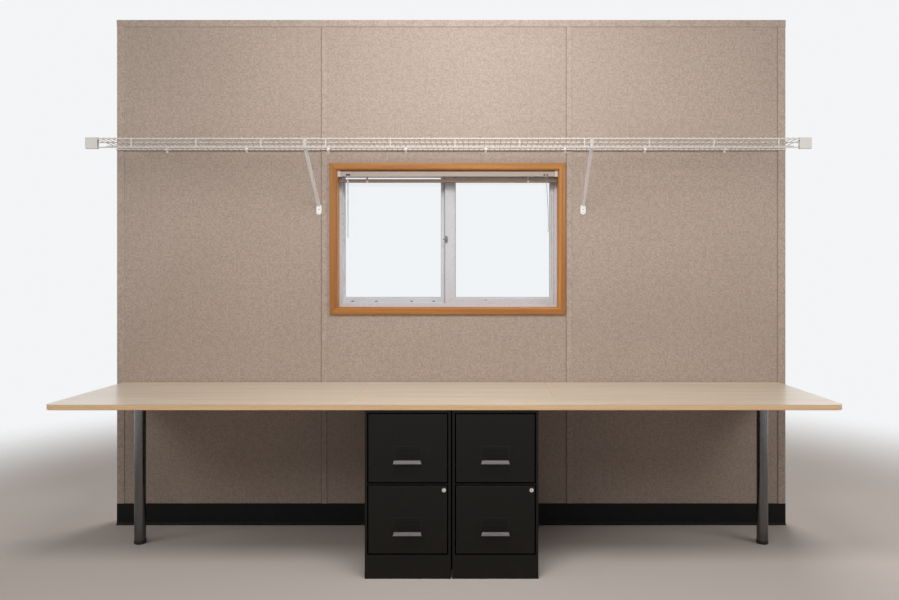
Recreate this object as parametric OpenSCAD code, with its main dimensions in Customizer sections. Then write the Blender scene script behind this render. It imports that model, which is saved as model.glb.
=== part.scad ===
/* [Wall] */
// Width of the wall, from end stud to end stud
wall_w = 3340; // [3000:10:4200]
// Height of the wall, from floor to ceiling
wall_h = 2520; // [2350:10:2750]
// Thickness of the timber frame
frame_t = 89; // [64:1:140]
// Face width of a stud or plate
stud_w = 38; // [30:1:45]
// Distance between stud centres
stud_pitch = 406; // [300:1:610]
// Height of the header over the window
header_h = 140; // [90:5:240]
// Thickness of the inner wall panels
panel_t = 12.7; // [8:0.1:20]
// Thickness of the outer sheathing
sheathing_t = 9.5; // [6:0.5:18]
// Place of the left panel joint
left_joint_x = -634; // [-760:1:-634]
// Place of the right panel joint
right_joint_x = 590; // [590:1:640]

/* [Wall trims] */
// Width of the strip over a panel joint
batten_w = 26; // [16:1:40]
// Thickness of the joint and corner strips
batten_t = 4; // [2:0.5:8]
// Width of the strip in each corner
corner_strip_w = 37; // [20:1:60]
// Height of the strip under the ceiling
ceiling_strip_h = 33; // [20:1:60]
// Thickness of the strip under the ceiling
ceiling_strip_t = 6; // [4:0.5:12]
// Height of the cove base
base_h = 105; // [60:5:150]
// Thickness of the cove base
base_t = 4; // [2:0.5:6]
// Reach of the toe of the cove base
base_toe = 14; // [8:1:20]

/* [Siding] */
// Distance between the ribs of the siding
rib_pitch = 228; // [150:1:300]
// Depth of a rib
rib_d = 14; // [6:1:25]
// Width of a rib at its top
rib_top_w = 22; // [10:1:40]
// Slope of a rib, measured across
rib_slope = 12; // [4:1:20]
// Thickness of the siding sheet
siding_t = 1.2; // [0.6:0.1:2]

/* [Window] */
// Place of the middle of the window
window_x = -18; // [-20:1:-10]
// Width of the window inside its wooden liner
window_w = 1102; // [900:2:1120]
// Height of the window inside its wooden liner
window_h = 683; // [500:1:900]
// Height of the window's lower edge
window_z = 1086; // [900:1:1150]
// Thickness of the wooden liner
liner_t = 12; // [8:1:18]
// Width of the wooden trim
trim_w = 34; // [25:1:45]
// Thickness of the wooden trim
trim_t = 12; // [8:1:20]
// Edge of the liner left bare by the trim
trim_step = 3; // [1:0.5:6]
// Depth of the window frame
window_d = 58; // [50:1:64]
// Part of the window frame that shows around the tracks
track_w = 14; // [8:1:24]
// Width of the fixed pane's frame beside the jamb
fixed_w = 7; // [6:0.5:20]
// Width of the fixed pane's frame behind the sash
fixed_meeting_w = 35; // [30:1:60]
// Height of the rails of the sash and of the fixed pane's frame
rail_h = 33; // [24:1:45]
// Width of the sash's outer stile
stile_w = 20; // [14:1:40]
// Width of the sash's meeting stile
meeting_w = 52; // [35:1:60]
// Width of the glazing bead around a pane
bead_w = 4; // [2:0.5:6]
// Depth of the sash
sash_d = 24; // [18:1:26]
// Play of the sash in its track
sash_play = 1; // [0.5:0.5:3]
// Thickness of a pane
glass_t = 5; // [3:0.5:12]
// Width of the outer window trim
outer_trim_w = 40; // [25:1:70]

/* [Blind] */
// Height and depth of the head rail
rail_s = 25; // [20:1:30]
// Gap above the head rail
rail_gap = 4; // [3:0.5:14]
// Gap between the head rail and the raised slats
stack_gap = 12; // [4:1:20]
// Number of slats
slat_count = 18; // [10:1:40]
// Distance between the raised slats
slat_pitch = 0.5; // [0.45:0.05:1]
// Thickness of a slat
slat_t = 0.3; // [0.2:0.05:0.4]
// Height of the bottom rail
bottom_rail_h = 6; // [5:1:14]
// Length of the tilt wand
wand_len = 300; // [150:5:400]
// Diameter of the tilt wand
wand_d = 8; // [5:0.5:10]
// Diameter of the lift cord
cord_d = 3; // [2:0.5:4]

/* [Shelf] */
// Depth of the wire shelf
shelf_d = 305; // [230:5:405]
// Height of the shelf's top
shelf_z = 1878; // [1860:1:1900]
// Diameter of the long rods
rod_d = 6; // [4:0.5:8]
// Diameter of the cross wires
wire_d = 3.6; // [2.5:0.1:5]
// Distance between the cross wires
wire_pitch = 25.4; // [20:0.1:50]
// Height of the front lip
lip_h = 49; // [35:1:80]
// Distance between the uprights of the lip
lip_pitch = 298; // [200:2:320]
// Distance between the wall clips
clip_pitch = 398; // [250:1:600]
// Distance from the wall's left end to the first wall clip
clip_in = 250; // [100:2:350]
// Width of an end bracket
end_w = 56; // [40:1:70]
// Height of an end bracket
end_h = 52; // [45:1:90]
// Gap between the left joint strip and the left brace
left_brace_gap = 1; // [1:1:60]
// Gap between the right joint strip and the right brace
right_brace_gap = 43; // [1:1:100]
// Width of a brace
brace_w = 16; // [8:1:20]
// Thickness of a brace
brace_t = 5; // [4:0.5:6]
// Width of a brace's foot
foot_plate_w = 26; // [16:1:40]
// Height of a brace's foot
foot_plate_h = 53; // [40:1:70]
// Fall of a brace from the lip to its foot
brace_drop = 290; // [240:5:340]

/* [Desk] */
// Height of the desk
desk_h = 712; // [680:1:760]
// Thickness of the worktop
top_t = 22; // [16:1:40]
// Depth of the worktop
top_d = 700; // [610:5:800]
// Gap between each end of the worktop and the wall's end
end_gap = 34; // [5:1:100]
// Radius of the worktop's front corners
corner_r = 38; // [10:1:80]
// Place of the left worktop joint
left_seam_x = -404; // [-600:1:-340]
// Place of the right worktop joint
right_seam_x = 464; // [400:1:600]
// Height of the cleat on the wall
cleat_h = 38; // [25:1:60]
// Thickness of the cleat on the wall
cleat_t = 19; // [12:1:38]
// Diameter of a leg
leg_d = 51; // [30:1:80]
// Distance from the wall to a leg
leg_y = 268; // [150:5:600]
// Distance from the worktop's left end to the left leg
left_leg_in = 202; // [80:1:400]
// Distance from the worktop's right end to the right leg
right_leg_in = 180; // [80:1:400]
// Diameter of a leg's top plate
leg_plate_d = 110; // [70:1:160]
// Thickness of a leg's top plate
leg_plate_t = 4; // [2:0.5:8]
// Height of the collar under a leg's top plate
collar_h = 12; // [6:1:25]
// Height of a foot
foot_h = 18; // [12:1:60]
// Diameter of a foot
foot_d = 54; // [30:1:90]

/* [Cabinets] */
// Width of a cabinet
cab_w = 352; // [330:1:360]
// Depth of a cabinet
cab_d = 457; // [430:1:560]
// Gap between the two cabinets
cab_gap = 6; // [2:1:30]
// Place of the gap between the two cabinets
cab_x = 30; // [0:1:40]
// Distance from the worktop's front edge to the cabinet fronts
cab_set = 8; // [2:1:30]
// Thickness of the cabinet's sheet steel
sheet_t = 1.5; // [0.8:0.1:2.5]
// Width of the folded lip beside the drawers
lip_w = 10; // [8:1:14]
// Height of the kick plate
kick_h = 91; // [60:1:130]
// Height of the rail over the kick plate
low_rail_h = 7; // [4:1:15]
// Height of the rail between the drawers
mid_rail_h = 4; // [3:0.5:8]
// Height of the lip over the upper drawer
top_rail_h = 12; // [8:1:20]
// Gap around a drawer front
front_gap = 5; // [5:0.5:8]
// Thickness of a drawer front
front_t = 18; // [12:1:24]
// Height of the lower drawer front
low_front_h = 277; // [240:1:290]
// Length of a drawer box
box_d = 400; // [340:5:405]
// Height of a drawer box
box_h = 225; // [150:5:228]
// Width of the folded rim of a drawer box
rim_w = 8; // [4:1:16]
// Width of a pull
pull_w = 116; // [90:1:140]
// Height of a pull
pull_h = 15; // [12:1:22]
// Reach of a pull
pull_reach = 24; // [18:1:32]
// Thickness of a pull's sheet
pull_t = 3; // [2:0.5:4]
// Height of a pull above its drawer front's lower edge
pull_z = 80; // [50:1:110]
// Height of a label holder
label_h = 52; // [40:1:60]
// Diameter of a lock
lock_d = 22; // [14:1:26]
// Distance from a lock's middle to the drawer front's side edge
lock_in = 13; // [12:1:30]
// Distance from a lock's middle to the drawer front's top edge
lock_down = 17; // [14:1:30]

/* [Hidden] */

// Length by which a cut runs past a face
cut = 1;
// Clearance of pieces that seat on each other but aren't joined
seat = 0.3;

// The room's face of the wall lies on the minus Y side
half_w = wall_w / 2;
frame_in_y = -frame_t / 2;
frame_out_y = frame_t / 2;
face_y = frame_in_y - panel_t;
strip_y = face_y - batten_t;
sheath_y = frame_out_y + sheathing_t;

// Clear opening inside the liner, and the hole that the liner and the frame fill
win_x0 = window_x - window_w / 2;
win_x1 = window_x + window_w / 2;
win_z0 = window_z;
win_z1 = window_z + window_h;
hole_x0 = win_x0 - liner_t;
hole_x1 = win_x1 + liner_t;
hole_z0 = win_z0 - liner_t;
hole_z1 = win_z1 + liner_t;
window_in_y = sheath_y - window_d;

// Sash and fixed pane, one behind the other
sash_x0 = window_x - 16;
sash_x1 = win_x1 - track_w - sash_play;
sash_z0 = win_z0 + track_w + seat;
sash_z1 = win_z1 - track_w - sash_play;
sash_y0 = window_in_y + 4;
sash_y1 = sash_y0 + sash_d;
fixed_y0 = sash_y1 + sash_play;
fixed_x1 = sash_x0 + 14;
guide_h = 6;
groove_d = 6;
bead_d = 4;

// Blind
rail_y0 = face_y + 4;
rail_z1 = win_z1 - rail_gap;
rail_z0 = rail_z1 - rail_s;
rail_x0 = win_x0 + 3;
rail_x1 = win_x1 - 3;
bracket_w = 14;
stack_z1 = rail_z0 - stack_gap;
stack_z0 = stack_z1 - slat_count * slat_pitch;
string_d = 1.2;
string_in = 148;
slat_r = 40;
slat_rise = slat_r - sqrt(slat_r * slat_r - rail_s * rail_s / 4);
string_end = stack_z0 - slat_rise - slat_t;
wand_x = win_x0 + 52;
wand_top = rail_z0 - 6;
cord_x = win_x1 - 60;
cord_z = rail_z0 + 8;
slot_w = 22;
slot_h = 7;
slot_z0 = cord_z - slot_h / 2;
// Route of the lift cord, from the lock in the head rail to the tassel
cord_route = [
    for (p = [
        [0, -0.2, 0], [0, -3, -0.5], [0, -5.5, -2], [0.2, -7.5, -5], [0.5, -8.3, -9], [1, -8.5, -14],
        [2, -8.5, -30], [4, -8.5, -60], [6, -8.5, -95], [8, -8.5, -130], [10, -8.5, -165],
        [11.5, -8.5, -200], [12.5, -8.5, -235], [13, -8.5, -262]
    ]) [cord_x + p[0], rail_y0 + p[1], cord_z + p[2]]
];
tassel_h = 22;
tassel_d = 12;

// Shelf
shelf_front_y = face_y - shelf_d;
deck_z = shelf_z - wire_d;
rod_z = deck_z - rod_d / 2 + 0.6;
back_rod_y = face_y - 11;
lip_rod_z = shelf_z - lip_h + rod_d / 2;
lip_y = shelf_front_y + rod_d / 2;
clip_w = 12;
left_brace_x = left_joint_x - batten_w / 2 - left_brace_gap - foot_plate_w / 2;
right_brace_x = right_joint_x + batten_w / 2 + right_brace_gap + foot_plate_w / 2;

// Desk
top_z0 = desk_h - top_t;
top_x1 = half_w - end_gap;
top_y0 = face_y - top_d;
left_leg_x = -top_x1 + left_leg_in;
right_leg_x = top_x1 - right_leg_in;
leg_mid_y = face_y - leg_y;

// Cabinets
cab_y0 = top_y0 + cab_set;
cab_y1 = cab_y0 + cab_d;
cab_h = top_z0;
left_cab_x = cab_x - cab_gap / 2 - cab_w / 2;
right_cab_x = cab_x + cab_gap / 2 + cab_w / 2;
low_front_z = kick_h + low_rail_h + front_gap;
mid_rail_z = low_front_z + low_front_h + front_gap;
high_front_z = mid_rail_z + mid_rail_h + front_gap;
high_front_h = cab_h - top_rail_h - front_gap - high_front_z;
front_half = cab_w / 2 - lip_w - front_gap;
box_half = front_half - 9;
runner_half = cab_w / 2 - lip_w - 1.5;
channel_half = runner_half - 7;
runner_h = 12;
runner_up = 60;
box_up = 12;
bar = 4;

// A block between two corners
module block(x0, x1, y0, y1, z0, z1) {
    translate([x0, y0, z0]) cube([x1 - x0, y1 - y0, z1 - z0]);
}

// An outline drawn in X and Z, given a thickness towards the room from y
module upright(y, t) {
    translate([0, y, 0]) rotate([90, 0, 0]) linear_extrude(t) children();
}

// An outline drawn in Y and Z, run along X from x0 to x1
module along_x(x0, x1) {
    translate([x0, 0, 0]) rotate([90, 0, 90]) linear_extrude(x1 - x0) children();
}

// A rectangular ring that stands in the wall
module ring(x0, x1, z0, z1, w, y0, y1) {
    difference() {
        block(x0, x1, y0, y1, z0, z1);
        block(x0 + w, x1 - w, y0 - cut, y1 + cut, z0 + w, z1 - w);
    }
}

// The hole that the window takes out of a layer of the wall
module window_hole(y0, y1) {
    block(hole_x0, hole_x1, y0 - cut, y1 + cut, hole_z0, hole_z1);
}

// Timber frame
module bottom_plate() {
    color("burlywood") block(-half_w, half_w, frame_in_y, frame_out_y, 0, stud_w);
}

module top_plate() {
    color("burlywood") block(-half_w, half_w, frame_in_y, frame_out_y, wall_h - stud_w, wall_h);
}

module stud(x, z0, z1) {
    block(x - stud_w / 2, x + stud_w / 2, frame_in_y, frame_out_y, z0, z1);
}

king_left = hole_x0 - stud_w / 2;
king_right = hole_x1 + stud_w / 2;
stud_places = [for (x = [-half_w + stud_w / 2 + stud_pitch : stud_pitch : half_w - 2 * stud_w]) x];

module end_stud_left() {
    color("burlywood") stud(-half_w + stud_w / 2, stud_w, wall_h - stud_w);
}

module end_stud_right() {
    color("burlywood") stud(half_w - stud_w / 2, stud_w, wall_h - stud_w);
}

// Full studs, with one on each side of the window
module studs() {
    color("burlywood") {
        stud(king_left, stud_w, wall_h - stud_w);
        stud(king_right, stud_w, wall_h - stud_w);
        for (x = stud_places)
            if (x < king_left - 2 * stud_w || x > king_right + 2 * stud_w)
                stud(x, stud_w, wall_h - stud_w);
    }
}

// Short studs under the window and over its header
module cripple_studs() {
    color("burlywood")
        for (x = stud_places)
            if (x > king_left + 2 * stud_w && x < king_right - 2 * stud_w) {
                stud(x, stud_w, hole_z0 - stud_w);
                stud(x, hole_z1 + header_h, wall_h - stud_w);
            }
}

module window_header() {
    color("burlywood") block(hole_x0, hole_x1, frame_in_y, frame_out_y, hole_z1, hole_z1 + header_h);
}

module window_sill_plate() {
    color("burlywood") block(hole_x0, hole_x1, frame_in_y, frame_out_y, hole_z0 - stud_w, hole_z0);
}

// Inner wall panels
module panel_left() {
    color("tan") block(-half_w, left_joint_x, face_y, frame_in_y, 0, wall_h);
}

module panel_centre() {
    color("tan") difference() {
        block(left_joint_x, right_joint_x, face_y, frame_in_y, 0, wall_h);
        window_hole(face_y, frame_in_y);
    }
}

module panel_right() {
    color("tan") block(right_joint_x, half_w, face_y, frame_in_y, 0, wall_h);
}

// Strips over the panel joints and in the corners, with their long edges eased
module strip(x0, x1) {
    ease = batten_t / 3;
    translate([0, 0, base_h]) linear_extrude(wall_h - ceiling_strip_h - base_h)
        polygon([
            [x0, face_y], [x0, strip_y + ease], [x0 + ease, strip_y],
            [x1 - ease, strip_y], [x1, strip_y + ease], [x1, face_y]
        ]);
}

module joint_strips() {
    color("tan") {
        strip(-half_w, -half_w + corner_strip_w);
        strip(left_joint_x - batten_w / 2, left_joint_x + batten_w / 2);
        strip(right_joint_x - batten_w / 2, right_joint_x + batten_w / 2);
        strip(half_w - corner_strip_w, half_w);
    }
}

module ceiling_strip() {
    color("tan") block(-half_w, half_w, face_y - ceiling_strip_t, face_y, wall_h - ceiling_strip_h, wall_h);
}

// Cove base, whose toe curves out over the floor
module cove_base() {
    cove_r = base_toe - base_t;
    color("dimgray") along_x(-half_w, half_w) difference() {
        union() {
            translate([face_y - base_t, 0]) square([base_t, base_h]);
            translate([face_y - base_toe, 0]) square([base_toe, cove_r + 2]);
        }
        translate([face_y - base_toe, cove_r + 2]) circle(r = cove_r, $fn = 48);
    }
}

// Outer skins
module sheathing() {
    color("peru") difference() {
        block(-half_w, half_w, frame_out_y, sheath_y, 0, wall_h);
        window_hole(frame_out_y, sheath_y);
    }
}

rib_count = floor((wall_w - 2 * rib_slope - rib_top_w - 20) / rib_pitch) + 1;
rib_half = rib_top_w / 2 + rib_slope;
first_rib = -(rib_count - 1) * rib_pitch / 2;

rib_shape = [[-rib_half, 0], [-rib_top_w / 2, rib_d], [rib_top_w / 2, rib_d], [rib_half, 0]];

function rib_line(y) = [
    for (i = [0 : rib_count - 1], p = rib_shape) [first_rib + i * rib_pitch + p[0], y + p[1]]
];

function reversed(list) = [for (i = [len(list) - 1 : -1 : 0]) list[i]];

module siding() {
    inner = rib_line(sheath_y);
    outer = rib_line(sheath_y + siding_t);
    color("gainsboro") difference() {
        linear_extrude(wall_h) polygon(concat(
            [[-half_w, sheath_y]], inner, [[half_w, sheath_y]],
            [[half_w, sheath_y + siding_t]], reversed(outer), [[-half_w, sheath_y + siding_t]]
        ));
        block(
            hole_x0 - outer_trim_w, hole_x1 + outer_trim_w,
            sheath_y - cut, sheath_y + rib_d + siding_t + cut,
            hole_z0 - outer_trim_w, hole_z1 + outer_trim_w
        );
    }
}

module outer_window_trim() {
    color("whitesmoke") ring(
        hole_x0 - outer_trim_w, hole_x1 + outer_trim_w,
        hole_z0 - outer_trim_w, hole_z1 + outer_trim_w,
        outer_trim_w, sheath_y, sheath_y + rib_d + 4
    );
}

// Wooden window trim, a moulded bar cut to a mitre at each end
trim_x0 = win_x0 - trim_step;
trim_x1 = win_x1 + trim_step;
trim_z0 = win_z0 - trim_step;
trim_z1 = win_z1 + trim_step;

// Half outline of the moulding, from its inner edge outwards
module moulding() {
    polygon([
        [0, 0], [0, trim_t - 4], [3, trim_t - 2], [6, trim_t],
        [trim_w - 2, trim_t], [trim_w, trim_t - 2], [trim_w, 0]
    ]);
}

module mitre(length) {
    polygon([[0, 0], [length, 0], [length + trim_w, trim_w], [-trim_w, trim_w]]);
}

module trim_bar(length) {
    intersection() {
        translate([0, face_y, 0]) rotate([90, 0, 0]) linear_extrude(trim_t) mitre(length);
        translate([-trim_w, face_y, 0]) rotate([90, 0, 90]) linear_extrude(length + 2 * trim_w)
            rotate(90) moulding();
    }
}

module window_trim_head() {
    color("peru") translate([trim_x0, 0, trim_z1]) trim_bar(trim_x1 - trim_x0);
}

module window_trim_sill() {
    color("peru") translate([trim_x1, 0, trim_z0]) rotate([0, 180, 0]) trim_bar(trim_x1 - trim_x0);
}

module window_trim_left() {
    color("peru") translate([trim_x0, 0, trim_z0]) rotate([0, -90, 0]) trim_bar(trim_z1 - trim_z0);
}

module window_trim_right() {
    color("peru") translate([trim_x1, 0, trim_z1]) rotate([0, 90, 0]) trim_bar(trim_z1 - trim_z0);
}

module window_liner() {
    color("peru") ring(hole_x0, hole_x1, hole_z0, hole_z1, liner_t, face_y, window_in_y);
}

// Window frame: an outer ring with tracks, and the fixed pane's frame at the outer side
module window_frame() {
    color("white") {
        difference() {
            union() {
                ring(hole_x0, hole_x1, hole_z0, hole_z1, liner_t + track_w, window_in_y, sheath_y);
                block(
                    win_x0 + track_w - cut, fixed_x1, fixed_y0, sheath_y,
                    win_z0 + track_w - cut, win_z1 - track_w + cut
                );
            }
            fixed_opening(0, fixed_y0 - cut, sheath_y + cut);
            fixed_opening(bead_w, fixed_y0 - cut, fixed_y0 + bead_d);
            fixed_groove(0);
        }
        for (z = [win_z0 + track_w, win_z1 - track_w - guide_h])
            block(
                win_x0 + track_w - cut, sash_x0 - 4,
                window_in_y, window_in_y + 3,
                z - cut, z + guide_h + cut
            );
    }
}

// Opening of the fixed pane's frame, wider by a margin
module fixed_opening(margin, y0, y1) {
    block(
        win_x0 + track_w + fixed_w - margin, fixed_x1 - fixed_meeting_w + margin, y0, y1,
        win_z0 + track_w + rail_h - margin, win_z1 - track_w - fixed_w + margin
    );
}

// Groove of the fixed pane's frame, or with a play the pane that it holds
module fixed_groove(play) {
    pane_y = (fixed_y0 + sheath_y) / 2;
    block(
        win_x0 + track_w + fixed_w - groove_d + play, fixed_x1 - fixed_meeting_w + groove_d - play,
        pane_y - glass_t / 2 + play / 4, pane_y + glass_t / 2 - play / 4,
        win_z0 + track_w + rail_h - groove_d, win_z1 - track_w - fixed_w + groove_d - play
    );
}

module fixed_pane() {
    color("lightblue", 0.4) fixed_groove(1);
}

module sliding_sash() {
    color("white") difference() {
        block(sash_x0, sash_x1, sash_y0, sash_y1, sash_z0, sash_z1);
        sash_opening(0, sash_y0 - cut, sash_y1 + cut);
        sash_opening(bead_w, sash_y0 - cut, sash_y0 + bead_d);
        sash_groove(0);
    }
}

// Opening of the sash, wider by a margin
module sash_opening(margin, y0, y1) {
    block(
        sash_x0 + meeting_w - margin, sash_x1 - stile_w + margin, y0, y1,
        sash_z0 + rail_h - margin, sash_z1 - rail_h + margin
    );
}

// Groove of the sash, or with a play the pane that it holds
module sash_groove(play) {
    mid_y = (sash_y0 + sash_y1) / 2;
    block(
        sash_x0 + meeting_w - groove_d + play, sash_x1 - stile_w + groove_d - play,
        mid_y - glass_t / 2 + play / 4, mid_y + glass_t / 2 - play / 4,
        sash_z0 + rail_h - groove_d, sash_z1 - rail_h + groove_d - play
    );
}

module sash_pane() {
    color("lightblue", 0.4) sash_groove(1);
}

// Cam latch on the meeting stile: a rounded plate, a hub and a lever that tapers
module sash_latch() {
    plate_w = 12;
    plate_h = 36;
    color("darkgray") translate([sash_x0 + 1 + plate_w / 2, 0, window_z + 0.5 * window_h]) {
        upright(sash_y0, 4) {
            square([plate_w, plate_h - plate_w], center = true);
            for (up = [-1, 1])
                translate([0, up * (plate_h - plate_w) / 2]) circle(d = plate_w, $fn = 32);
        }
        translate([0, sash_y0 - 3, 0]) rotate([90, 0, 0]) cylinder(d = plate_w - 2, h = 6, $fn = 32);
        upright(sash_y0 - 6, 4) polygon([[4, -4], [4, 4], [-14, 3], [-16, 1], [-16, -1], [-14, -3]]);
    }
}

// Mini-blind, raised: an open head rail, a stack of slats and a bottom rail
module blind_head_rail() {
    wall = 1;
    tongue_w = 7;
    color("whitesmoke") {
        difference() {
            union() {
                block(rail_x0, rail_x1, rail_y0, rail_y0 + rail_s, rail_z0, rail_z1);
                rail_bracket(win_x0);
                rail_bracket(win_x1 - bracket_w);
            }
            block(
                rail_x0 + bracket_w, rail_x1 - bracket_w, rail_y0 + wall, rail_y0 + rail_s - wall,
                rail_z0 + wall, rail_z1 + cut
            );
            for (x = [wand_x, cord_x])
                block(
                    x - slot_w / 2, x + slot_w / 2,
                    rail_y0 - cut, rail_y0 + wall + cut,
                    slot_z0, slot_z0 + slot_h
                );
        }
        block(
            cord_x - tongue_w / 2, cord_x + tongue_w / 2, rail_y0, rail_y0 + 6,
            rail_z0 + wall / 2, slot_z0 + slot_h
        );
    }
}

// Box bracket around the rail's end, fixed up to the liner
module rail_bracket(x0) {
    lap = 1.5;
    difference() {
        block(x0, x0 + bracket_w, rail_y0 - lap, rail_y0 + rail_s + lap, rail_z0 - lap, win_z1);
        block(x0 - cut, x0 + bracket_w + cut, rail_y0 + lap, rail_y0 + rail_s - lap, rail_z1, win_z1 - lap);
    }
}

// A slat is a shallow arch across its width
module slat_outline() {
    intersection() {
        translate([0, -slat_r + slat_rise]) difference() {
            circle(r = slat_r, $fn = 96);
            circle(r = slat_r - slat_t, $fn = 96);
        }
        translate([-rail_s / 2, -slat_t]) square([rail_s, slat_rise + 2 * slat_t]);
    }
}

// Raised slats, hung from the head rail by the strings along their edges
module blind_slats() {
    color("whitesmoke") {
        for (i = [0 : slat_count - 1])
            translate([0, rail_y0 + rail_s / 2, stack_z1 - slat_rise - (i + 0.5) * slat_pitch])
                along_x(rail_x0 + 4, rail_x1 - 4) slat_outline();
        for (x = [win_x0 + string_in, win_x1 - string_in], y = [string_d / 4, rail_s - string_d / 4])
            translate([x - string_d / 2, rail_y0 + y - string_d / 2, string_end])
                cube([string_d, string_d, rail_z0 - string_end]);
    }
}

module blind_bottom_rail() {
    edge_r = min(3, bottom_rail_h / 2 - 0.5);
    color("whitesmoke")
        translate([0, rail_y0, string_end - bottom_rail_h]) along_x(rail_x0 + 4, rail_x1 - 4) {
            for (y = [edge_r, rail_s - edge_r])
                translate([y, edge_r]) circle(r = edge_r, $fn = 24);
            translate([edge_r, 0]) square([rail_s - 2 * edge_r, edge_r]);
            translate([0, edge_r]) square([rail_s, bottom_rail_h - edge_r]);
        }
}

// Clear six-sided wand on its hook
module blind_wand() {
    color("lightgray", 0.6) translate([wand_x, rail_y0 - wand_d / 2 - 2, wand_top - wand_len]) {
        cylinder(d = wand_d, h = wand_len, $fn = 6);
        translate([0, 0, wand_len]) cylinder(d = 3, h = 10, $fn = 24);
        translate([0, wand_d / 2 + 2, wand_len + 8]) rotate([90, 0, 0])
            cylinder(d = 3, h = wand_d / 2 + 2, $fn = 24);
    }
}

// Ring of points around one point of the cord's route
function cord_ring(i) = let (
        n = len(cord_route),
        a = cord_route[max(i - 1, 0)],
        b = cord_route[min(i + 1, n - 1)],
        along = (b - a) / norm(b - a),
        side = cross(along, [1, 0, 0]) / norm(cross(along, [1, 0, 0])),
        other = cross(along, side)
    ) [for (k = [0 : 7]) cord_route[i] + cord_d / 2 * (cos(45 * k) * side + sin(45 * k) * other)];

module blind_cord() {
    n = len(cord_route);
    points = [for (i = [0 : n - 1], p = cord_ring(i)) p];
    sides = [
        for (i = [0 : n - 2], k = [0 : 7])
            [8 * i + k, 8 * i + (k + 1) % 8, 8 * i + 8 + (k + 1) % 8, 8 * i + 8 + k]
    ];
    ends = [[for (k = [7 : -1 : 0]) k], [for (k = [0 : 7]) 8 * (n - 1) + k]];
    color("ivory") polyhedron(points, concat(sides, ends));
}

module blind_tassel() {
    end = cord_route[len(cord_route) - 1];
    color("ivory") translate([end[0], end[1], end[2] - tassel_h])
        cylinder(d1 = tassel_d, d2 = cord_d + 1, h = tassel_h, $fn = 32);
}

// Wire shelf
module rod_x(x0, x1, y, z, d) {
    translate([x0, y, z]) rotate([0, 90, 0]) cylinder(d = d, h = x1 - x0, $fn = 8);
}

module cross_wire(x) {
    translate([x, shelf_front_y + 1, shelf_z - wire_d / 2]) rotate([-90, 22.5, 0])
        cylinder(d = wire_d, h = shelf_d - 9, $fn = 8);
}

wire_count = floor((wall_w - 2 * wire_pitch) / wire_pitch / 2);

// Half of the deck: cross wires laid over the front, middle and back rods
module shelf_deck(side) {
    x0 = side < 0 ? -half_w : 0;
    x1 = side < 0 ? 0 : half_w;
    for (y = [lip_y, lip_y + (back_rod_y - lip_y) / 3, lip_y + 2 * (back_rod_y - lip_y) / 3, back_rod_y])
        rod_x(x0, x1, y, rod_z, rod_d);
    for (i = [0 : wire_count])
        cross_wire(side * (i + 0.5) * wire_pitch);
}

module shelf_deck_left() {
    color("white") shelf_deck(-1);
}

module shelf_deck_right() {
    color("white") shelf_deck(1);
}

// Uprights and low rod of the front lip
module shelf_lip() {
    flat = cos(22.5) * rod_d / 2;
    upright_count = floor((half_w - end_w) / lip_pitch);
    color("white") {
        rod_x(-half_w, half_w, lip_y, lip_rod_z, rod_d);
        for (i = [-upright_count : upright_count])
            translate([30 + i * lip_pitch, lip_y, lip_rod_z])
                cylinder(d = rod_d - 1, h = rod_z - lip_rod_z - rod_d / 2, $fn = 8);
    }
}

// Clip's outline: a tongue on the wall and a hook around the back rod from below
module clip_outline() {
    wall = 2;
    tongue_h = 13;
    hook_r = rod_d / 2 + seat;
    polygon([
        [face_y, rod_z - tongue_h], [face_y, rod_z + tongue_h],
        [face_y - 1.5, rod_z + tongue_h], [face_y - 3, rod_z + tongue_h - 4],
        [face_y - 3, rod_z - tongue_h + 4], [face_y - 1.5, rod_z - tongue_h]
    ]);
    translate([back_rod_y, rod_z]) difference() {
        union() {
            circle(r = hook_r + wall, $fn = 32);
            translate([hook_r + wall / 2, -hook_r])
                square([face_y - 2 - back_rod_y - hook_r - wall / 2, hook_r]);
        }
        circle(r = hook_r, $fn = 32);
        translate([-hook_r - 2 * wall, 0]) square([2 * hook_r + 3 * wall, hook_r + 2 * wall]);
    }
}

// Place of a clip that would meet a joint strip, moved to the side where more of it lies
function beside(x, joint_x) =
    let (reach = (batten_w + clip_w) / 2 + 1)
    abs(x - joint_x) < reach ? joint_x + (x < joint_x ? -reach : reach) : x;

// Clips that hold the back rod on the wall
module shelf_clips() {
    clip_count = floor((wall_w - clip_in - end_w) / clip_pitch);
    places = [for (i = [0 : clip_count]) -half_w + clip_in + i * clip_pitch];
    color("white")
        for (x = places) {
            clip_x = beside(beside(x, left_joint_x), right_joint_x);
            along_x(clip_x - clip_w / 2, clip_x + clip_w / 2) clip_outline();
        }
}

// End bracket around the shelf's front corner
module shelf_end() {
    wall = 2;
    z1 = rod_z - rod_d / 2 - seat;
    color("white") {
        block(0, end_w, shelf_front_y - wall - seat, shelf_front_y - seat, shelf_z - end_h, shelf_z - 1);
        block(0, end_w, shelf_front_y - wall - seat, lip_y + 12, shelf_z - end_h, shelf_z - end_h + wall);
        block(0, end_w, lip_y + 10, lip_y + 12, shelf_z - end_h, z1);
    }
}

module shelf_end_left() {
    translate([-half_w, 0, 0]) shelf_end();
}

module shelf_end_right() {
    translate([half_w - end_w, 0, 0]) shelf_end();
}

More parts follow.
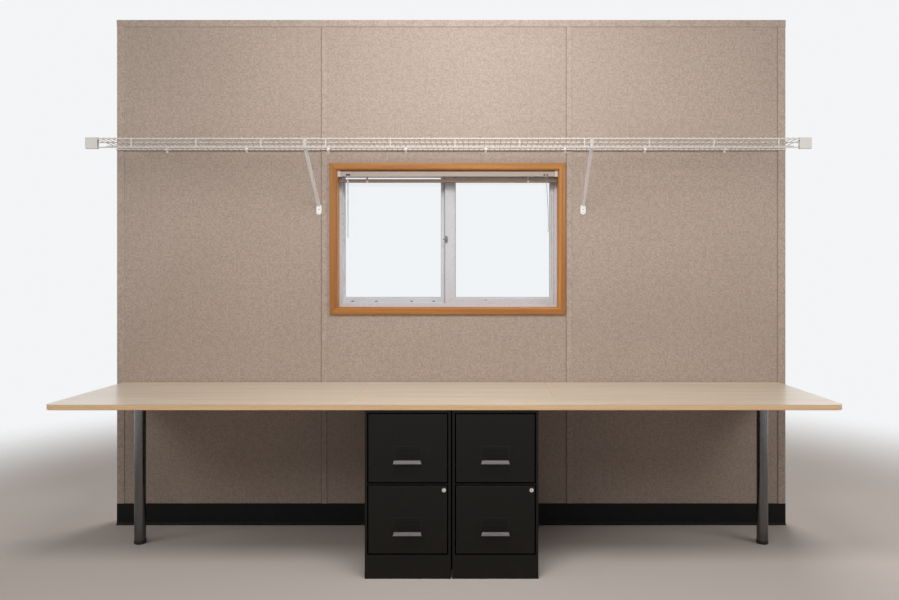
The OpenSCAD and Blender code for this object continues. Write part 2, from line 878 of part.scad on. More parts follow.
// Diagonal brace: a hook around the lip's low rod, a strut, and a rounded foot screwed to the wall
module brace(x) {
    sheet = 2;
    foot_t = 4;
    hook_y = lip_y - rod_d / 2 - seat;
    hook_z = lip_rod_z - rod_d / 2 - seat;
    top_y = lip_y + rod_d / 2 + seat;
    top_z = lip_rod_z + 4;
    end_y = face_y - foot_t + cut;
    run = end_y - top_y;
    fall = brace_drop - lip_h;
    end_z = top_z - fall;
    thick_z = brace_t * sqrt(run * run + fall * fall) / run;
    color("white") {
        along_x(x - brace_w / 2, x + brace_w / 2) polygon([
            [hook_y - sheet, hook_z - sheet],
            [top_y + (top_z - thick_z - hook_z + sheet) * run / fall, hook_z - sheet],
            [end_y, end_z - thick_z], [end_y, end_z],
            [top_y, top_z], [top_y, hook_z], [hook_y, hook_z],
            [hook_y, rod_z + rod_d / 2], [hook_y - sheet, rod_z + rod_d / 2]
        ]);
        translate([x, 0, end_z + 6 - foot_plate_h / 2]) brace_foot(foot_t);
    }
}

// Foot of a brace, with the head of its screw in the lower half
module brace_foot(t) {
    from_middle = (foot_plate_h - foot_plate_w) / 2;
    upright(face_y, t) {
        square([foot_plate_w, foot_plate_h - foot_plate_w], center = true);
        for (up = [-1, 1])
            translate([0, up * from_middle]) circle(d = foot_plate_w, $fn = 48);
    }
    translate([0, face_y - t + seat, -from_middle]) rotate([90, 0, 0])
        cylinder(d1 = 9, d2 = 6, h = 2 + seat, $fn = 32);
}

module shelf_brace_left() {
    brace(left_brace_x);
}

module shelf_brace_right() {
    brace(right_brace_x);
}

// Worktop, in three lengths, rounded at its outer front corners
module worktop_outline() {
    translate([-top_x1, top_y0 + corner_r]) square([2 * top_x1, strip_y - top_y0 - corner_r]);
    translate([-top_x1 + corner_r, top_y0]) square([2 * (top_x1 - corner_r), corner_r + cut]);
    for (x = [-top_x1 + corner_r, top_x1 - corner_r])
        translate([x, top_y0 + corner_r]) circle(r = corner_r, $fn = 64);
}

module worktop(x0, x1) {
    color("wheat") translate([0, 0, top_z0]) linear_extrude(top_t) intersection() {
        worktop_outline();
        translate([x0, top_y0 - cut]) square([x1 - x0, top_d + cut]);
    }
}

module worktop_left() {
    worktop(-half_w, left_seam_x);
}

module worktop_centre() {
    worktop(left_seam_x, right_seam_x);
}

module worktop_right() {
    worktop(right_seam_x, half_w);
}

module worktop_cleat() {
    color("burlywood") block(-top_x1, top_x1, strip_y - cleat_t, strip_y, top_z0 - cleat_h, top_z0);
}

// Round leg with a top plate, a collar and a foot
module leg(x) {
    plate_z0 = top_z0 - leg_plate_t;
    translate([x, leg_mid_y, 0]) {
        color("black") {
            cylinder(d1 = foot_d - 4, d2 = foot_d, h = 5, $fn = 64);
            translate([0, 0, 5]) cylinder(d1 = foot_d, d2 = leg_d + 2, h = foot_h - 5, $fn = 64);
        }
        color("silver") {
            translate([0, 0, foot_h]) cylinder(d = leg_d, h = plate_z0 - foot_h, $fn = 64);
            translate([0, 0, plate_z0 - collar_h]) cylinder(d = leg_d + 6, h = collar_h, $fn = 64);
            translate([0, 0, plate_z0]) cylinder(d = leg_plate_d, h = leg_plate_t, $fn = 64);
        }
    }
}

module leg_left() {
    leg(left_leg_x);
}

module leg_right() {
    leg(right_leg_x);
}

// A pair of channels on the cabinet's sides, in which a drawer's runners slide
module channels(front_z) {
    z = front_z + runner_up + 1;
    y0 = cab_y0 + front_t + 5;
    y1 = cab_y1 - sheet_t;
    for (side = [-1, 1], up = [-2 - seat, runner_h + seat])
        translate([side * (channel_half + cab_w / 2) / 2, (y0 + y1) / 2, z + up])
            cube([cab_w / 2 - channel_half, y1 - y0, 2], center = true);
}

// Cabinet shell around x = 0: a folded steel box on a hollow base
module cabinet() {
    half = cab_w / 2;
    color("black") {
        difference() {
            block(-half, half, cab_y0, cab_y1, 0, cab_h);
            block(
                -half + sheet_t, half - sheet_t, cab_y0 + sheet_t, cab_y1 - sheet_t,
                kick_h + low_rail_h, cab_h - sheet_t
            );
            block(
                -half + lip_w, half - lip_w, cab_y0 - cut, cab_y0 + sheet_t + cut,
                kick_h + low_rail_h, cab_h - top_rail_h
            );
            block(
                -half + sheet_t, half - sheet_t, cab_y0 + sheet_t, cab_y1 - sheet_t,
                -cut, kick_h + low_rail_h - sheet_t
            );
        }
        block(
            -half + sheet_t / 2, half - sheet_t / 2,
            cab_y0, cab_y0 + front_t,
            mid_rail_z, mid_rail_z + mid_rail_h
        );
        channels(low_front_z);
        channels(high_front_z);
    }
}

module cabinet_left() {
    translate([left_cab_x, 0, 0]) cabinet();
}

module cabinet_right() {
    translate([right_cab_x, 0, 0]) cabinet();
}

// Drawer around x = 0: front with a label holder, open box with a folded rim, and a runner on each side
module drawer(front_z, front_h) {
    box_y0 = cab_y0 + front_t;
    box_z = front_z + box_up;
    label_z = front_z + pull_z + pull_h + 3;
    card_z = label_z + 0.13 * label_h;
    card_h = 0.5 * label_h;
    card_half = 0.4 * pull_w;
    color("black") {
        block(-front_half, front_half, cab_y0, box_y0, front_z, front_z + front_h);
        ring(-pull_w / 2, pull_w / 2, label_z, label_z + label_h, bar, cab_y0 - 1.5, cab_y0 + cut);
        ring(-card_half, card_half, card_z, card_z + card_h, 3, cab_y0 - 1.5, cab_y0 + cut);
        difference() {
            block(-box_half, box_half, box_y0 - cut, box_y0 + box_d, box_z, box_z + box_h);
            block(
                -box_half + sheet_t, box_half - sheet_t, box_y0, box_y0 + box_d - sheet_t,
                box_z + sheet_t, box_z + box_h - sheet_t
            );
            block(
                -box_half + rim_w, box_half - rim_w, box_y0, box_y0 + box_d - rim_w,
                box_z + sheet_t, box_z + box_h + cut
            );
        }
        translate([0, box_y0 + box_d / 2, front_z + runner_up + runner_h / 2])
            for (side = [-1, 1])
                translate([side * (box_half + runner_half) / 2, 0, 0])
                    cube([runner_half - box_half + sheet_t / 2, box_d, runner_h], center = true);
    }
}

module drawer_left_lower() {
    translate([left_cab_x, 0, 0]) drawer(low_front_z, low_front_h);
}

module drawer_left_upper() {
    translate([left_cab_x, 0, 0]) drawer(high_front_z, high_front_h);
}

module drawer_right_lower() {
    translate([right_cab_x, 0, 0]) drawer(low_front_z, low_front_h);
}

module drawer_right_upper() {
    translate([right_cab_x, 0, 0]) drawer(high_front_z, high_front_h);
}

// Pull: a ledge on the drawer front with a lip that hangs from its outer edge
module pull(front_z) {
    z0 = front_z + pull_z;
    z1 = z0 + pull_h;
    y_out = cab_y0 - pull_reach;
    color("silver") intersection() {
        along_x(-pull_w / 2, pull_w / 2) polygon([
            [cab_y0, z1], [cab_y0, z1 - pull_t], [y_out + pull_t, z1 - pull_t], [y_out + pull_t, z0],
            [y_out, z0], [y_out, z1 - 2], [y_out + 2, z1]
        ]);
        upright(cab_y0, pull_reach) polygon([
            [-pull_w / 2, z0], [pull_w / 2, z0], [pull_w / 2 - 4, z1], [-pull_w / 2 + 4, z1]
        ]);
    }
}

// Cylinder lock near the upper right corner of a lower drawer front, with its keyway
module drawer_lock(front_z, front_h) {
    color("silver") translate([front_half - lock_in, cab_y0, front_z + front_h - lock_down])
        rotate([90, 0, 0]) difference() {
            union() {
                cylinder(d = lock_d, h = 2, $fn = 48);
                cylinder(d = lock_d - 6, h = 4, $fn = 48);
            }
            translate([-0.8, -4, 2]) cube([1.6, 8, 2 + cut]);
        }
}

module pull_left_lower() {
    translate([left_cab_x, 0, 0]) {
        pull(low_front_z);
        drawer_lock(low_front_z, low_front_h);
    }
}

module pull_left_upper() {
    translate([left_cab_x, 0, 0]) pull(high_front_z);
}

module pull_right_lower() {
    translate([right_cab_x, 0, 0]) {
        pull(low_front_z);
        drawer_lock(low_front_z, low_front_h);
    }
}

module pull_right_upper() {
    translate([right_cab_x, 0, 0]) pull(high_front_z);
}

bottom_plate();
top_plate();
end_stud_left();
end_stud_right();
studs();
cripple_studs();
window_header();
window_sill_plate();
panel_left();
panel_centre();
panel_right();
joint_strips();
ceiling_strip();
cove_base();
sheathing();
siding();
outer_window_trim();
window_trim_head();
window_trim_sill();
window_trim_left();
window_trim_right();
window_liner();
window_frame();
fixed_pane();
sliding_sash();
sash_pane();
sash_latch();
blind_head_rail();
blind_slats();
blind_bottom_rail();
blind_wand();
blind_cord();
blind_tassel();
shelf_deck_left();
shelf_deck_right();
shelf_lip();
shelf_clips();
shelf_end_left();
shelf_end_right();
shelf_brace_left();
shelf_brace_right();
worktop_left();
worktop_centre();
worktop_right();
worktop_cleat();
leg_left();
leg_right();
cabinet_left();
cabinet_right();
drawer_left_lower();
drawer_left_upper();
drawer_right_lower();
drawer_right_upper();
pull_left_lower();
pull_left_upper();
pull_right_lower();
pull_right_upper();
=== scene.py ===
# End wall of a site cabin with its fitted desk: finishes, fittings, camera and light
import math
import random

import bpy
from mathutils import Matrix, Vector


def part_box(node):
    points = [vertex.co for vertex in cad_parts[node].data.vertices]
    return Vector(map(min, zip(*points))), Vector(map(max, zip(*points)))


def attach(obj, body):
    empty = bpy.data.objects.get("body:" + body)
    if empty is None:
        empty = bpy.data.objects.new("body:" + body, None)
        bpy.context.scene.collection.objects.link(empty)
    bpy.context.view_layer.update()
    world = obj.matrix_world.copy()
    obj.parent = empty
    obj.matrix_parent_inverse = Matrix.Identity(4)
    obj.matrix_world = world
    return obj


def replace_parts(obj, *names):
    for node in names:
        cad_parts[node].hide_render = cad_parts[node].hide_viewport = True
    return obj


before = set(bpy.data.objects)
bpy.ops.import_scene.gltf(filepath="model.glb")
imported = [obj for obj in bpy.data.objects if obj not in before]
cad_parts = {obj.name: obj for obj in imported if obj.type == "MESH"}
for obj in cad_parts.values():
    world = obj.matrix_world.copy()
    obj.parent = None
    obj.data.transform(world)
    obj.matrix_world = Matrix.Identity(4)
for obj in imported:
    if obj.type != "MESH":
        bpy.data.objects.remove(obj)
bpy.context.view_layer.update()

mm = 0.001
random.seed(11)


# Picking, naming and shaping

def switch(mode):
    bpy.ops.object.mode_set(mode=mode)


def letGo():
    if bpy.context.mode != "OBJECT":
        switch("OBJECT")
    bpy.ops.object.select_all(action="DESELECT")


def added(name, data):
    piece = bpy.data.objects.new(name, data)
    bpy.context.scene.collection.objects.link(piece)
    return piece


def settle(name):
    # names the active object and moves its place into its mesh
    piece = bpy.context.object
    piece.name = name
    piece.data.name = name
    bpy.ops.object.transform_apply(location=True, rotation=True, scale=True)
    return piece


def pick(piece):
    letGo()
    piece.select_set(True)
    bpy.context.view_layer.objects.active = piece


def choose(piece, kind, test):
    # marks the faces, edges or corners that pass the test, and stays in edit mode
    pick(piece)
    switch("EDIT")
    bpy.ops.mesh.select_mode(type=kind)
    bpy.ops.mesh.select_all(action="DESELECT")
    switch("OBJECT")
    mesh = piece.data
    if kind == "FACE":
        for face in mesh.polygons:
            face.select = bool(test(face.center, face.normal))
    elif kind == "EDGE":
        for edge in mesh.edges:
            edge.select = bool(test(*(mesh.vertices[i].co for i in edge.vertices)))
    else:
        for corner in mesh.vertices:
            corner.select = bool(test(corner.co))
    switch("EDIT")


def modify(piece, kind, **settings):
    pick(piece)
    modifier = piece.modifiers.new(kind.lower(), kind)
    for name, value in settings.items():
        setattr(modifier, name, value)
    bpy.ops.object.modifier_apply(modifier=modifier.name)
    return piece


def smooth(piece, angle=38):
    pick(piece)
    bpy.ops.object.shade_smooth_by_angle(angle=math.radians(angle))
    return modify(piece, "WEIGHTED_NORMAL", keep_sharp=True)


def rounded(piece, width, segments, angle, **settings):
    # rounds every edge sharper than the angle
    return modify(piece, "BEVEL", width=width, segments=segments, limit_method="ANGLE",
                  angle_limit=math.radians(angle), **settings)


def ease(piece, width, segments=2):
    return smooth(rounded(piece, width, segments, 30, miter_outer="MITER_ARC"))


def block(name, low, high):
    letGo()
    size = [b - a for a, b in zip(low, high)]
    middle = [(a + b) / 2 for a, b in zip(low, high)]
    bpy.ops.mesh.primitive_cube_add(size=1, location=middle, scale=size)
    return settle(name)


def rod(name, foot, top, radius, sides):
    letGo()
    run = Vector(top) - Vector(foot)
    bpy.ops.mesh.primitive_cylinder_add(
        vertices=sides, radius=radius, depth=run.length,
        location=(Vector(top) + Vector(foot)) / 2, rotation=run.to_track_quat("Z", "Y").to_euler()
    )
    return settle(name)


def inMetres(steps):
    return [(radius * mm, height * mm) for radius, height in steps]


def turned(name, steps, place=(0, 0, 0), towards=(0, 0, 1), sides=24):
    # a round piece drawn up from a disc, through steps of (radius, height)
    letGo()
    radius, height = steps[0]
    bpy.ops.mesh.primitive_circle_add(
        vertices=sides, radius=radius, fill_type="NGON", location=(0, 0, height)
    )
    piece = settle(name)
    switch("EDIT")
    bpy.ops.mesh.select_all(action="SELECT")
    for nextRadius, nextHeight in steps[1:]:
        bpy.ops.mesh.extrude_region_move(TRANSFORM_OT_translate={"value": (0, 0, nextHeight - height)})
        share = nextRadius / radius
        bpy.ops.transform.resize(value=(share, share, 1), center_override=(0, 0, nextHeight))
        radius, height = nextRadius, nextHeight
    bpy.ops.mesh.select_all(action="SELECT")
    bpy.ops.mesh.normals_make_consistent(inside=False)
    switch("OBJECT")
    piece.rotation_euler = Vector(towards).to_track_quat("Z", "Y").to_euler()
    piece.location = place
    return smooth(settle(name))


def ringOf(name, low, high, members, profile):
    # a mitred rectangular frame in X and Z. members are its left, right, lower and upper widths, and the
    # profile is a closed line of points (share of the width, mm added to it, y, mm added to it)
    def rectangle(share, more):
        left, right, lower, upper = (share * width + more for width in members)
        size = high[0] - low[0] - left - right, high[1] - low[1] - lower - upper
        return Vector((low[0] + left + size[0] / 2, 0, low[1] + lower + size[1] / 2)), size

    letGo()
    profile = [(share, more * mm, y + step * mm) for share, more, y, step in profile]
    share, more, y = profile[0]
    middle, size = rectangle(share, more)
    bpy.ops.mesh.primitive_plane_add(
        size=1, location=middle + Vector((0, y, 0)), rotation=(math.pi / 2, 0, 0)
    )
    bpy.context.object.scale = (size[0], size[1], 1)
    piece = settle(name)
    switch("EDIT")
    bpy.ops.mesh.select_mode(type="EDGE")
    bpy.ops.mesh.select_all(action="SELECT")
    bpy.ops.mesh.delete(type="ONLY_FACE")
    bpy.ops.mesh.select_all(action="SELECT")
    for share, more, nextY in profile[1:] + profile[:1]:
        nextMiddle, nextSize = rectangle(share, more)
        step = nextMiddle - middle + Vector((0, nextY - y, 0))
        bpy.ops.mesh.extrude_edges_move(TRANSFORM_OT_translate={"value": step})
        bpy.ops.transform.resize(
            value=(nextSize[0] / size[0], 1, nextSize[1] / size[1]),
            center_override=nextMiddle + Vector((0, nextY, 0)),
        )
        middle, size, y = nextMiddle, nextSize, nextY
    bpy.ops.mesh.select_all(action="SELECT")
    bpy.ops.mesh.remove_doubles(threshold=0.000005)
    bpy.ops.mesh.normals_make_consistent(inside=False)
    switch("OBJECT")
    return piece


def copyNode(name, node):
    # the node's own solid, back from triangles to flat faces
    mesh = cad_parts[node].data.copy()
    mesh.name = name
    mesh.materials.clear()
    piece = added(name, mesh)
    pick(piece)
    bpy.ops.mesh.customdata_custom_splitnormals_clear()
    choose(piece, "FACE", lambda centre, normal: True)
    bpy.ops.mesh.remove_doubles(threshold=0.00002)
    bpy.ops.mesh.dissolve_limited(angle_limit=math.radians(0.5))
    switch("OBJECT")
    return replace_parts(piece, node)


def scatter(name, model, places):
    # copies of a model, each with its own mesh, turned and moved, and joined into one piece
    copies = [added(name, model.data.copy()) for matrix in places]
    for copy, matrix in zip(copies, places):
        copy.data.transform(matrix)
    bpy.data.objects.remove(model)
    return join(name, copies[::-1])


def facing(place, towards, spin):
    # where a model made upright at the origin goes, with its top turned towards a direction
    turn = Vector(towards).to_track_quat("Z", "Y").to_matrix().to_4x4()
    return Matrix.Translation(place) @ turn @ Matrix.Rotation(spin, 4, "Z")


def join(name, pieces):
    letGo()
    for piece in pieces:
        piece.select_set(True)
    bpy.context.view_layer.objects.active = pieces[0]
    if len(pieces) > 1:
        bpy.ops.object.join()
    return settle(name)


def cut(piece, cutter):
    modify(piece, "BOOLEAN", operation="DIFFERENCE", object=cutter, solver="EXACT")
    bpy.data.objects.remove(cutter)


def bevelEdges(piece, width, segments, test):
    choose(piece, "EDGE", test)
    bpy.ops.mesh.bevel(offset=width, segments=segments, affect="EDGES")
    switch("OBJECT")


def near(first, second):
    return abs(first - second) < 0.1 * mm


def dress(piece, finish, body="root"):
    # finish, material slot and body of a new piece
    piece.data.materials.clear()
    piece.data.materials.append(finishes[finish])
    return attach(piece, body)


def dressNode(finish, *nodes):
    for node in nodes:
        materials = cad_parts[node].data.materials
        materials.clear()
        materials.append(finishes[finish])


def moved(point, steps):
    return [at + step * mm for at, step in zip(point, steps)]


def slab(name, low, high, shape, finish, body="root"):
    # a small part cut square and eased, between two points moved by the shape's steps in millimetres
    piece = block(name, moved(low, shape["from"]), moved(high, shape["to"]))
    return dress(ease(piece, shape["rounding"] * mm), finish, body)


def paintFaces(piece, finish, test):
    # a second finish on the faces that pass the test
    piece.data.materials.append(finishes[finish])
    for face in piece.data.polygons:
        if test(face.center, face.normal):
            face.material_index = len(piece.data.materials) - 1


# Camera, at the photograph's own eye point

def setCamera():
    look = {
        "eye": (157.5 * mm, -3837.2 * mm, 1218 * mm),
        "sensor": 36, "reach": 200,
        "frameWidth": 899, "focalPixels": 432,  # the photograph's frame and focal length, in pixels
        "aheadX": 488.5, "aheadY": 272,  # where it looks straight ahead
        "middleX": 469.5, "middleY": 283,  # the middle of what is shown of it
        "closer": 1.75,  # how much larger it is shown
    }
    share = look["closer"] / look["frameWidth"]
    bpy.ops.object.camera_add(location=look["eye"], rotation=(math.pi / 2, 0, 0))
    camera = bpy.context.object
    camera.data.sensor_width = look["sensor"]
    camera.data.lens = look["sensor"] * look["focalPixels"] * share
    camera.data.shift_x = (look["middleX"] - look["aheadX"]) * share
    camera.data.shift_y = (look["aheadY"] - look["middleY"]) * share
    camera.data.clip_end = look["reach"]
    bpy.context.scene.camera = camera


setCamera()
print("camera in place")


# The blind's lift cord, from the lock in the head rail to its tassel

def makeLiftCord():
    cord = {
        "thick": 3 * mm, "length": 268 * mm,
        "start": (473, -53.2, 1748),
        "route": [
            (0, -0.2, 0), (0, -3, -0.5), (0, -5.5, -2), (0.2, -7.5, -5), (0.5, -8.3, -9), (1, -8.5, -14),
            (2, -8.5, -30), (4, -8.5, -60), (6, -8.5, -95), (8, -8.5, -130), (10, -8.5, -165),
            (11.5, -8.5, -200), (12.5, -8.5, -235), (13, -8.5, -262),
        ],
        "tassel": [  # its steps, as (radius, height) in millimetres
            (2.0, -22), (4.6, -22), (5.4, -21.2), (5.7, -19.5), (5.6, -16), (5.0, -11.5),
            (4.0, -7), (3.2, -3.5), (2.9, -1.2), (2.3, -0.4), (1.6, -0.2),
        ],
    }
    points = [(Vector(cord["start"]) + Vector(step)) * mm for step in cord["route"]]
    curve = bpy.data.curves.new("lift_cord", "CURVE")
    curve.dimensions = "3D"
    curve.bevel_depth = 1  # times each knot's radius, which the curve's box takes in too
    curve.bevel_resolution = 3
    curve.use_fill_caps = True
    curve.resolution_u = 6
    line = curve.splines.new("BEZIER")
    line.bezier_points.add(len(points) - 1)
    for knot, point in zip(line.bezier_points, points):
        knot.co = point
        knot.radius = cord["thick"] / 2
        knot.handle_left_type = knot.handle_right_type = "AUTO"
    liftCord = added("lift_cord", curve)
    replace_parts(liftCord, "blind_cord")
    tassel = turned("cord_tassel", inMetres(cord["tassel"]), points[-1])
    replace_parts(tassel, "blind_tassel")
    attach(liftCord, "root")
    return liftCord, tassel


liftCord, tassel = makeLiftCord()
print("lift cord in place")


# Finishes, written as sums on the outputs of nodes

class Wire:
    # an output socket that sums can be written on
    def __init__(self, nodes, socket):
        self.nodes = nodes
        self.socket = socket

    def sum(self, operation, first, second):
        return self.nodes.node("Math", {"operation": operation}, {0: first, 1: second})

    def __add__(self, other):
        return self.sum("ADD", self, other)

    def __sub__(self, other):
        return self.sum("SUBTRACT", self, other)

    def __mul__(self, other):
        return self.sum("MULTIPLY", self, other)

    def below(self, other):
        return self.sum("LESS_THAN", self, other)

    def larger(self, other):
        return self.sum("MAXIMUM", self, other)


class Nodes:
    # a node tree, to which one method adds any node
    def __init__(self, tree):
        self.tree = tree

    def node(self, kind, settings=None, sockets=None, output=0):
        made = self.tree.nodes.new("ShaderNode" + kind)
        for name, value in (settings or {}).items():
            setattr(made, name, value)
        for socket, value in (sockets or {}).items():
            self.feed(made.inputs[socket], value)
        return Wire(self, made.outputs[output])

    def feed(self, socket, value):
        if isinstance(value, Wire):
            self.tree.links.new(value.socket, socket)
        else:
            socket.default_value = value


class Finish(Nodes):
    # a material around its main shader
    def __init__(self, name, **even):
        self.material = bpy.data.materials.new(name)
        self.material.use_nodes = True
        super().__init__(self.material.node_tree)
        self.shader = self.tree.nodes["Principled BSDF"]
        for socket, value in even.items():
            self.shader.inputs[socket.replace("_", " ")].default_value = value
        self.place = self.node("TexCoord", output="Object")
        self.normal = self.node("TexCoord", output="Normal")

    def parts(self, vector):
        return [self.node("SeparateXYZ", sockets={0: vector}, output=i) for i in range(3)]

    def grain(self, scale, stretch=(1, 1, 1), detail=3, roughness=0.5, warp=0.0):
        # noise on the object's own coordinates, with scale in lumps a metre
        stretched = self.node("Mapping", sockets={"Vector": self.place, "Scale": stretch})
        return self.node("TexNoise", sockets={
            "Vector": stretched, "Scale": scale, "Detail": detail, "Roughness": roughness, "Distortion": warp,
        })

    def between(self, value, low, high, bottom=0.0, top=1.0):
        return self.node("MapRange", {"interpolation_type": "SMOOTHSTEP"}, {
            "Value": value, "From Min": low, "From Max": high, "To Min": bottom, "To Max": top,
        })

    def blend(self, amount, first, second):
        return self.node("Mix", {"data_type": "RGBA"}, {0: amount, 6: first, 7: second}, output=2)

    def wave(self, run):
        # from 0 to 1 and back, along a run in radians
        return self.node("Math", {"operation": "SINE"}, {0: run})

    def bump(self, height, depth, strength):
        # with its depth in millimetres
        return self.node("Bump", sockets={"Height": height, "Distance": depth * mm, "Strength": strength})

    def finished(self, **varying):
        for socket, value in varying.items():
            self.feed(self.shader.inputs[socket.replace("_", " ")], value)
        return self.material


def tone(red, green, blue):
    # a colour as it shows on a screen, made linear
    shown = [part / 255 for part in (red, green, blue)]
    return tuple(((c + 0.055) / 1.055) ** 2.4 if c > 0.04 else c / 12.92 for c in shown) + (1,)


def darker(colour, share):
    return tuple(c * share for c in colour[:3]) + (1,)


def wallFinish(name, shade=1.0):
    # speckled vinyl on the room's side, paper and gypsum where the panel's edges show
    def shaded(*parts):
        return tone(*(part * shade for part in parts))

    look = {
        "light": shaded(197, 180, 167), "dark": shaded(164, 146, 134),
        "fleck": shaded(118, 101, 90), "pale": shaded(224, 210, 198),
        "gypsum": tone(206, 203, 196), "paper": tone(222, 220, 214),
        "speckles": 105, "threads": 420, "relief": 0.3, "bump": 0.34,
    }
    f = Finish(name, Roughness=0.62, Specular_IOR_Level=0.35)
    speckle = f.grain(look["speckles"], detail=4, roughness=0.62)
    thread = f.grain(look["threads"], detail=2)
    relief = speckle * 0.65 + thread * 0.35
    colour = f.blend(f.between(relief, 0.34, 0.65), look["dark"], look["light"])
    for spots, low, high, most, paint in (
        (f.grain(300, detail=1), 0.62, 0.74, 0.24, "fleck"),
        (f.grain(250, (1, 1, 1.3), detail=1), 0.66, 0.76, 0.24, "pale"),
        (f.grain(2.6, detail=2), 0.35, 0.65, 0.16, "dark"),
        (f.grain(36, detail=3), 0.4, 0.66, 0.12, "fleck"),
    ):
        colour = f.blend(f.between(spots, low, high, 0, most), colour, look[paint])
    front = f.parts(f.normal)[1].below(-0.3)
    core = f.blend(f.between(f.grain(700, detail=2), 0.4, 0.7), look["gypsum"], look["paper"])
    return f.finished(
        Base_Color=f.blend(front, core, colour), Normal=f.bump(relief * front, look["relief"], look["bump"])
    )


def woodFinish(name, along, look):
    # sawn or varnished wood, with its grain along X, Y or Z
    f = Finish(name, Roughness=look["rough"], Coat_Weight=look.get("coat", 0.0), Coat_Roughness=0.25)

    def stretched(lengthwise, across):
        return tuple(lengthwise if axis == along else across for axis in "XYZ")

    figure = f.grain(1, stretched(1.1, look["figure"]), detail=5, roughness=0.55, warp=0.8)
    streak = f.grain(1, stretched(3.5, look["streak"]), detail=4, roughness=0.6)
    pore = f.grain(1, stretched(26, look["pore"]), detail=2)
    colour = f.blend(f.between(figure, 0.34, 0.68), look["light"], look["dark"])
    colour = f.blend(f.between(streak, 0.44, 0.7, 0, 0.55), colour, look["dark"])
    colour = f.blend(f.between(pore, 0.6, 0.72, 0, look["pores"]), colour, look["deep"])
    rough = f.between(streak, 0.4, 0.7, 0, 0.1) + look["rough"]
    relief = f.between(pore, 0.5, 0.75, 1, 0)
    return f.finished(Base_Color=colour, Roughness=rough, Normal=f.bump(relief, 0.12, look["bump"]))


oakLook = {
    "light": tone(202, 140, 64), "dark": tone(165, 103, 40), "deep": tone(108, 62, 22),
    "figure": 34, "streak": 210, "pore": 1500, "pores": 0.6, "rough": 0.4, "coat": 0.1, "bump": 0.35,
}
oakDarker = {**oakLook, "light": tone(182, 122, 50), "dark": tone(148, 90, 32)}
pineLook = {
    "light": tone(222, 190, 142), "dark": tone(196, 156, 104), "deep": tone(150, 108, 64),
    "figure": 26, "streak": 150, "pore": 900, "pores": 0.3, "rough": 0.62, "bump": 0.4,
}
bandLook = {
    "light": tone(252, 214, 168), "dark": tone(240, 198, 150), "deep": tone(196, 150, 104),
    "figure": 60, "streak": 320, "pore": 1700, "pores": 0.35, "rough": 0.38, "coat": 0.2, "bump": 0.2,
}
mapleLook = {
    "light": tone(238, 224, 206), "dark": tone(226, 208, 185), "deep": tone(198, 174, 146),
    "figure": 16, "streak": 120, "pore": 1100, "pores": 0.3, "rough": 0.3, "coat": 0.4, "bump": 0.12,
}


def plainFinish(name, colour, rough, lumps=900, depth=0.06, soil=None, **even):
    # moulded or painted surface with a fine skin, and soil where given as (colour, share)
    f = Finish(name, Roughness=rough, **even)
    colour = tone(*colour)
    base = f.blend(f.between(f.grain(9, detail=3), 0.35, 0.7, 0, 0.1), colour, darker(colour, 0.8))
    if soil:
        dirt, most = soil
        spots = f.grain(34, detail=5, roughness=0.7)
        base = f.blend(f.between(spots, 0.56, 0.74, 0, most), base, tone(*dirt))
    return f.finished(
        Base_Color=base,
        Roughness=f.between(f.grain(60, detail=3), 0.3, 0.7, -0.05, 0.07) + rough,
        Normal=f.bump(f.grain(lumps, detail=2), depth, 0.6),
    )


def brushedFinish(name, colour, rough, along, scratch=1400):
    # metal with fine lines along one axis
    f = Finish(name, Metallic=1.0, Roughness=rough)
    line = f.grain(scratch, tuple(0.02 if axis == along else 1 for axis in "XYZ"), detail=3)
    return f.finished(
        Base_Color=f.blend(f.between(line, 0.35, 0.7), darker(colour, 0.72), colour),
        Roughness=f.between(line, 0.3, 0.7, -0.06, 0.1) + rough,
        Normal=f.bump(line, 0.03, 0.6),
    )


def glassFinish(name, colour, rough=0.0, clear=1.0):
    f = Finish(name, Roughness=rough, Transmission_Weight=clear, IOR=1.45)
    haze = f.between(f.grain(7, detail=4, roughness=0.7), 0.5, 0.8, 0, 0.03)
    return f.finished(
        Base_Color=f.blend(haze, colour, darker(colour, 0.93)), Roughness=haze * 0.4 + rough
    )


def powderFinish(name, colour, rough=0.5):
    # black powder coat with a fine leathered skin, dusty in places
    f = Finish(name, Roughness=rough, Specular_IOR_Level=0.22)
    skin = f.grain(820, detail=2, roughness=0.55)
    dust = f.between(f.grain(14, (1, 1, 0.5), detail=5, roughness=0.7), 0.52, 0.8, 0, 0.28)
    return f.finished(
        Base_Color=f.blend(dust, tone(*colour), tone(38, 33, 28)),
        Roughness=f.between(f.grain(40, detail=3), 0.3, 0.7, -0.07, 0.1) + rough,
        Normal=f.bump(skin, 0.1, 0.7),
    )


def braidFinish(name):
    # two sets of slanting strands round an upright cord
    f = Finish(name, Roughness=0.8, Sheen_Weight=0.2)
    x, z = f.parts(f.place)[::2]
    turns = 2400
    strand = f.wave((z + x) * turns) * f.wave((z - x) * turns) * 0.5 + 0.5
    return f.finished(
        Base_Color=f.blend(strand, tone(124, 134, 142), tone(184, 192, 198)),
        Normal=f.bump(strand, 0.3, 0.7),
    )


def sheathingFinish(name):
    # pressed strands on the face, and thin layers on the edges
    f = Finish(name, Roughness=0.78)
    y = f.parts(f.place)[1]
    stretched = f.node("Mapping", sockets={"Vector": f.place, "Scale": (18, 400, 60)})
    strand = f.node("TexVoronoi", {"feature": "F1"}, {"Vector": stretched, "Scale": 1.0}, "Color")
    flake = f.parts(strand)[0]
    layer = f.wave(y * 5200 + f.grain(40, detail=2) * 9) * 0.5 + 0.5
    colour = f.blend(flake, tone(176, 134, 84), tone(222, 186, 132))
    colour = f.blend(layer * 0.5, colour, tone(140, 100, 60))
    return f.finished(Base_Color=colour, Normal=f.bump(flake * 0.5 + layer * 0.5, 0.3, 0.6))


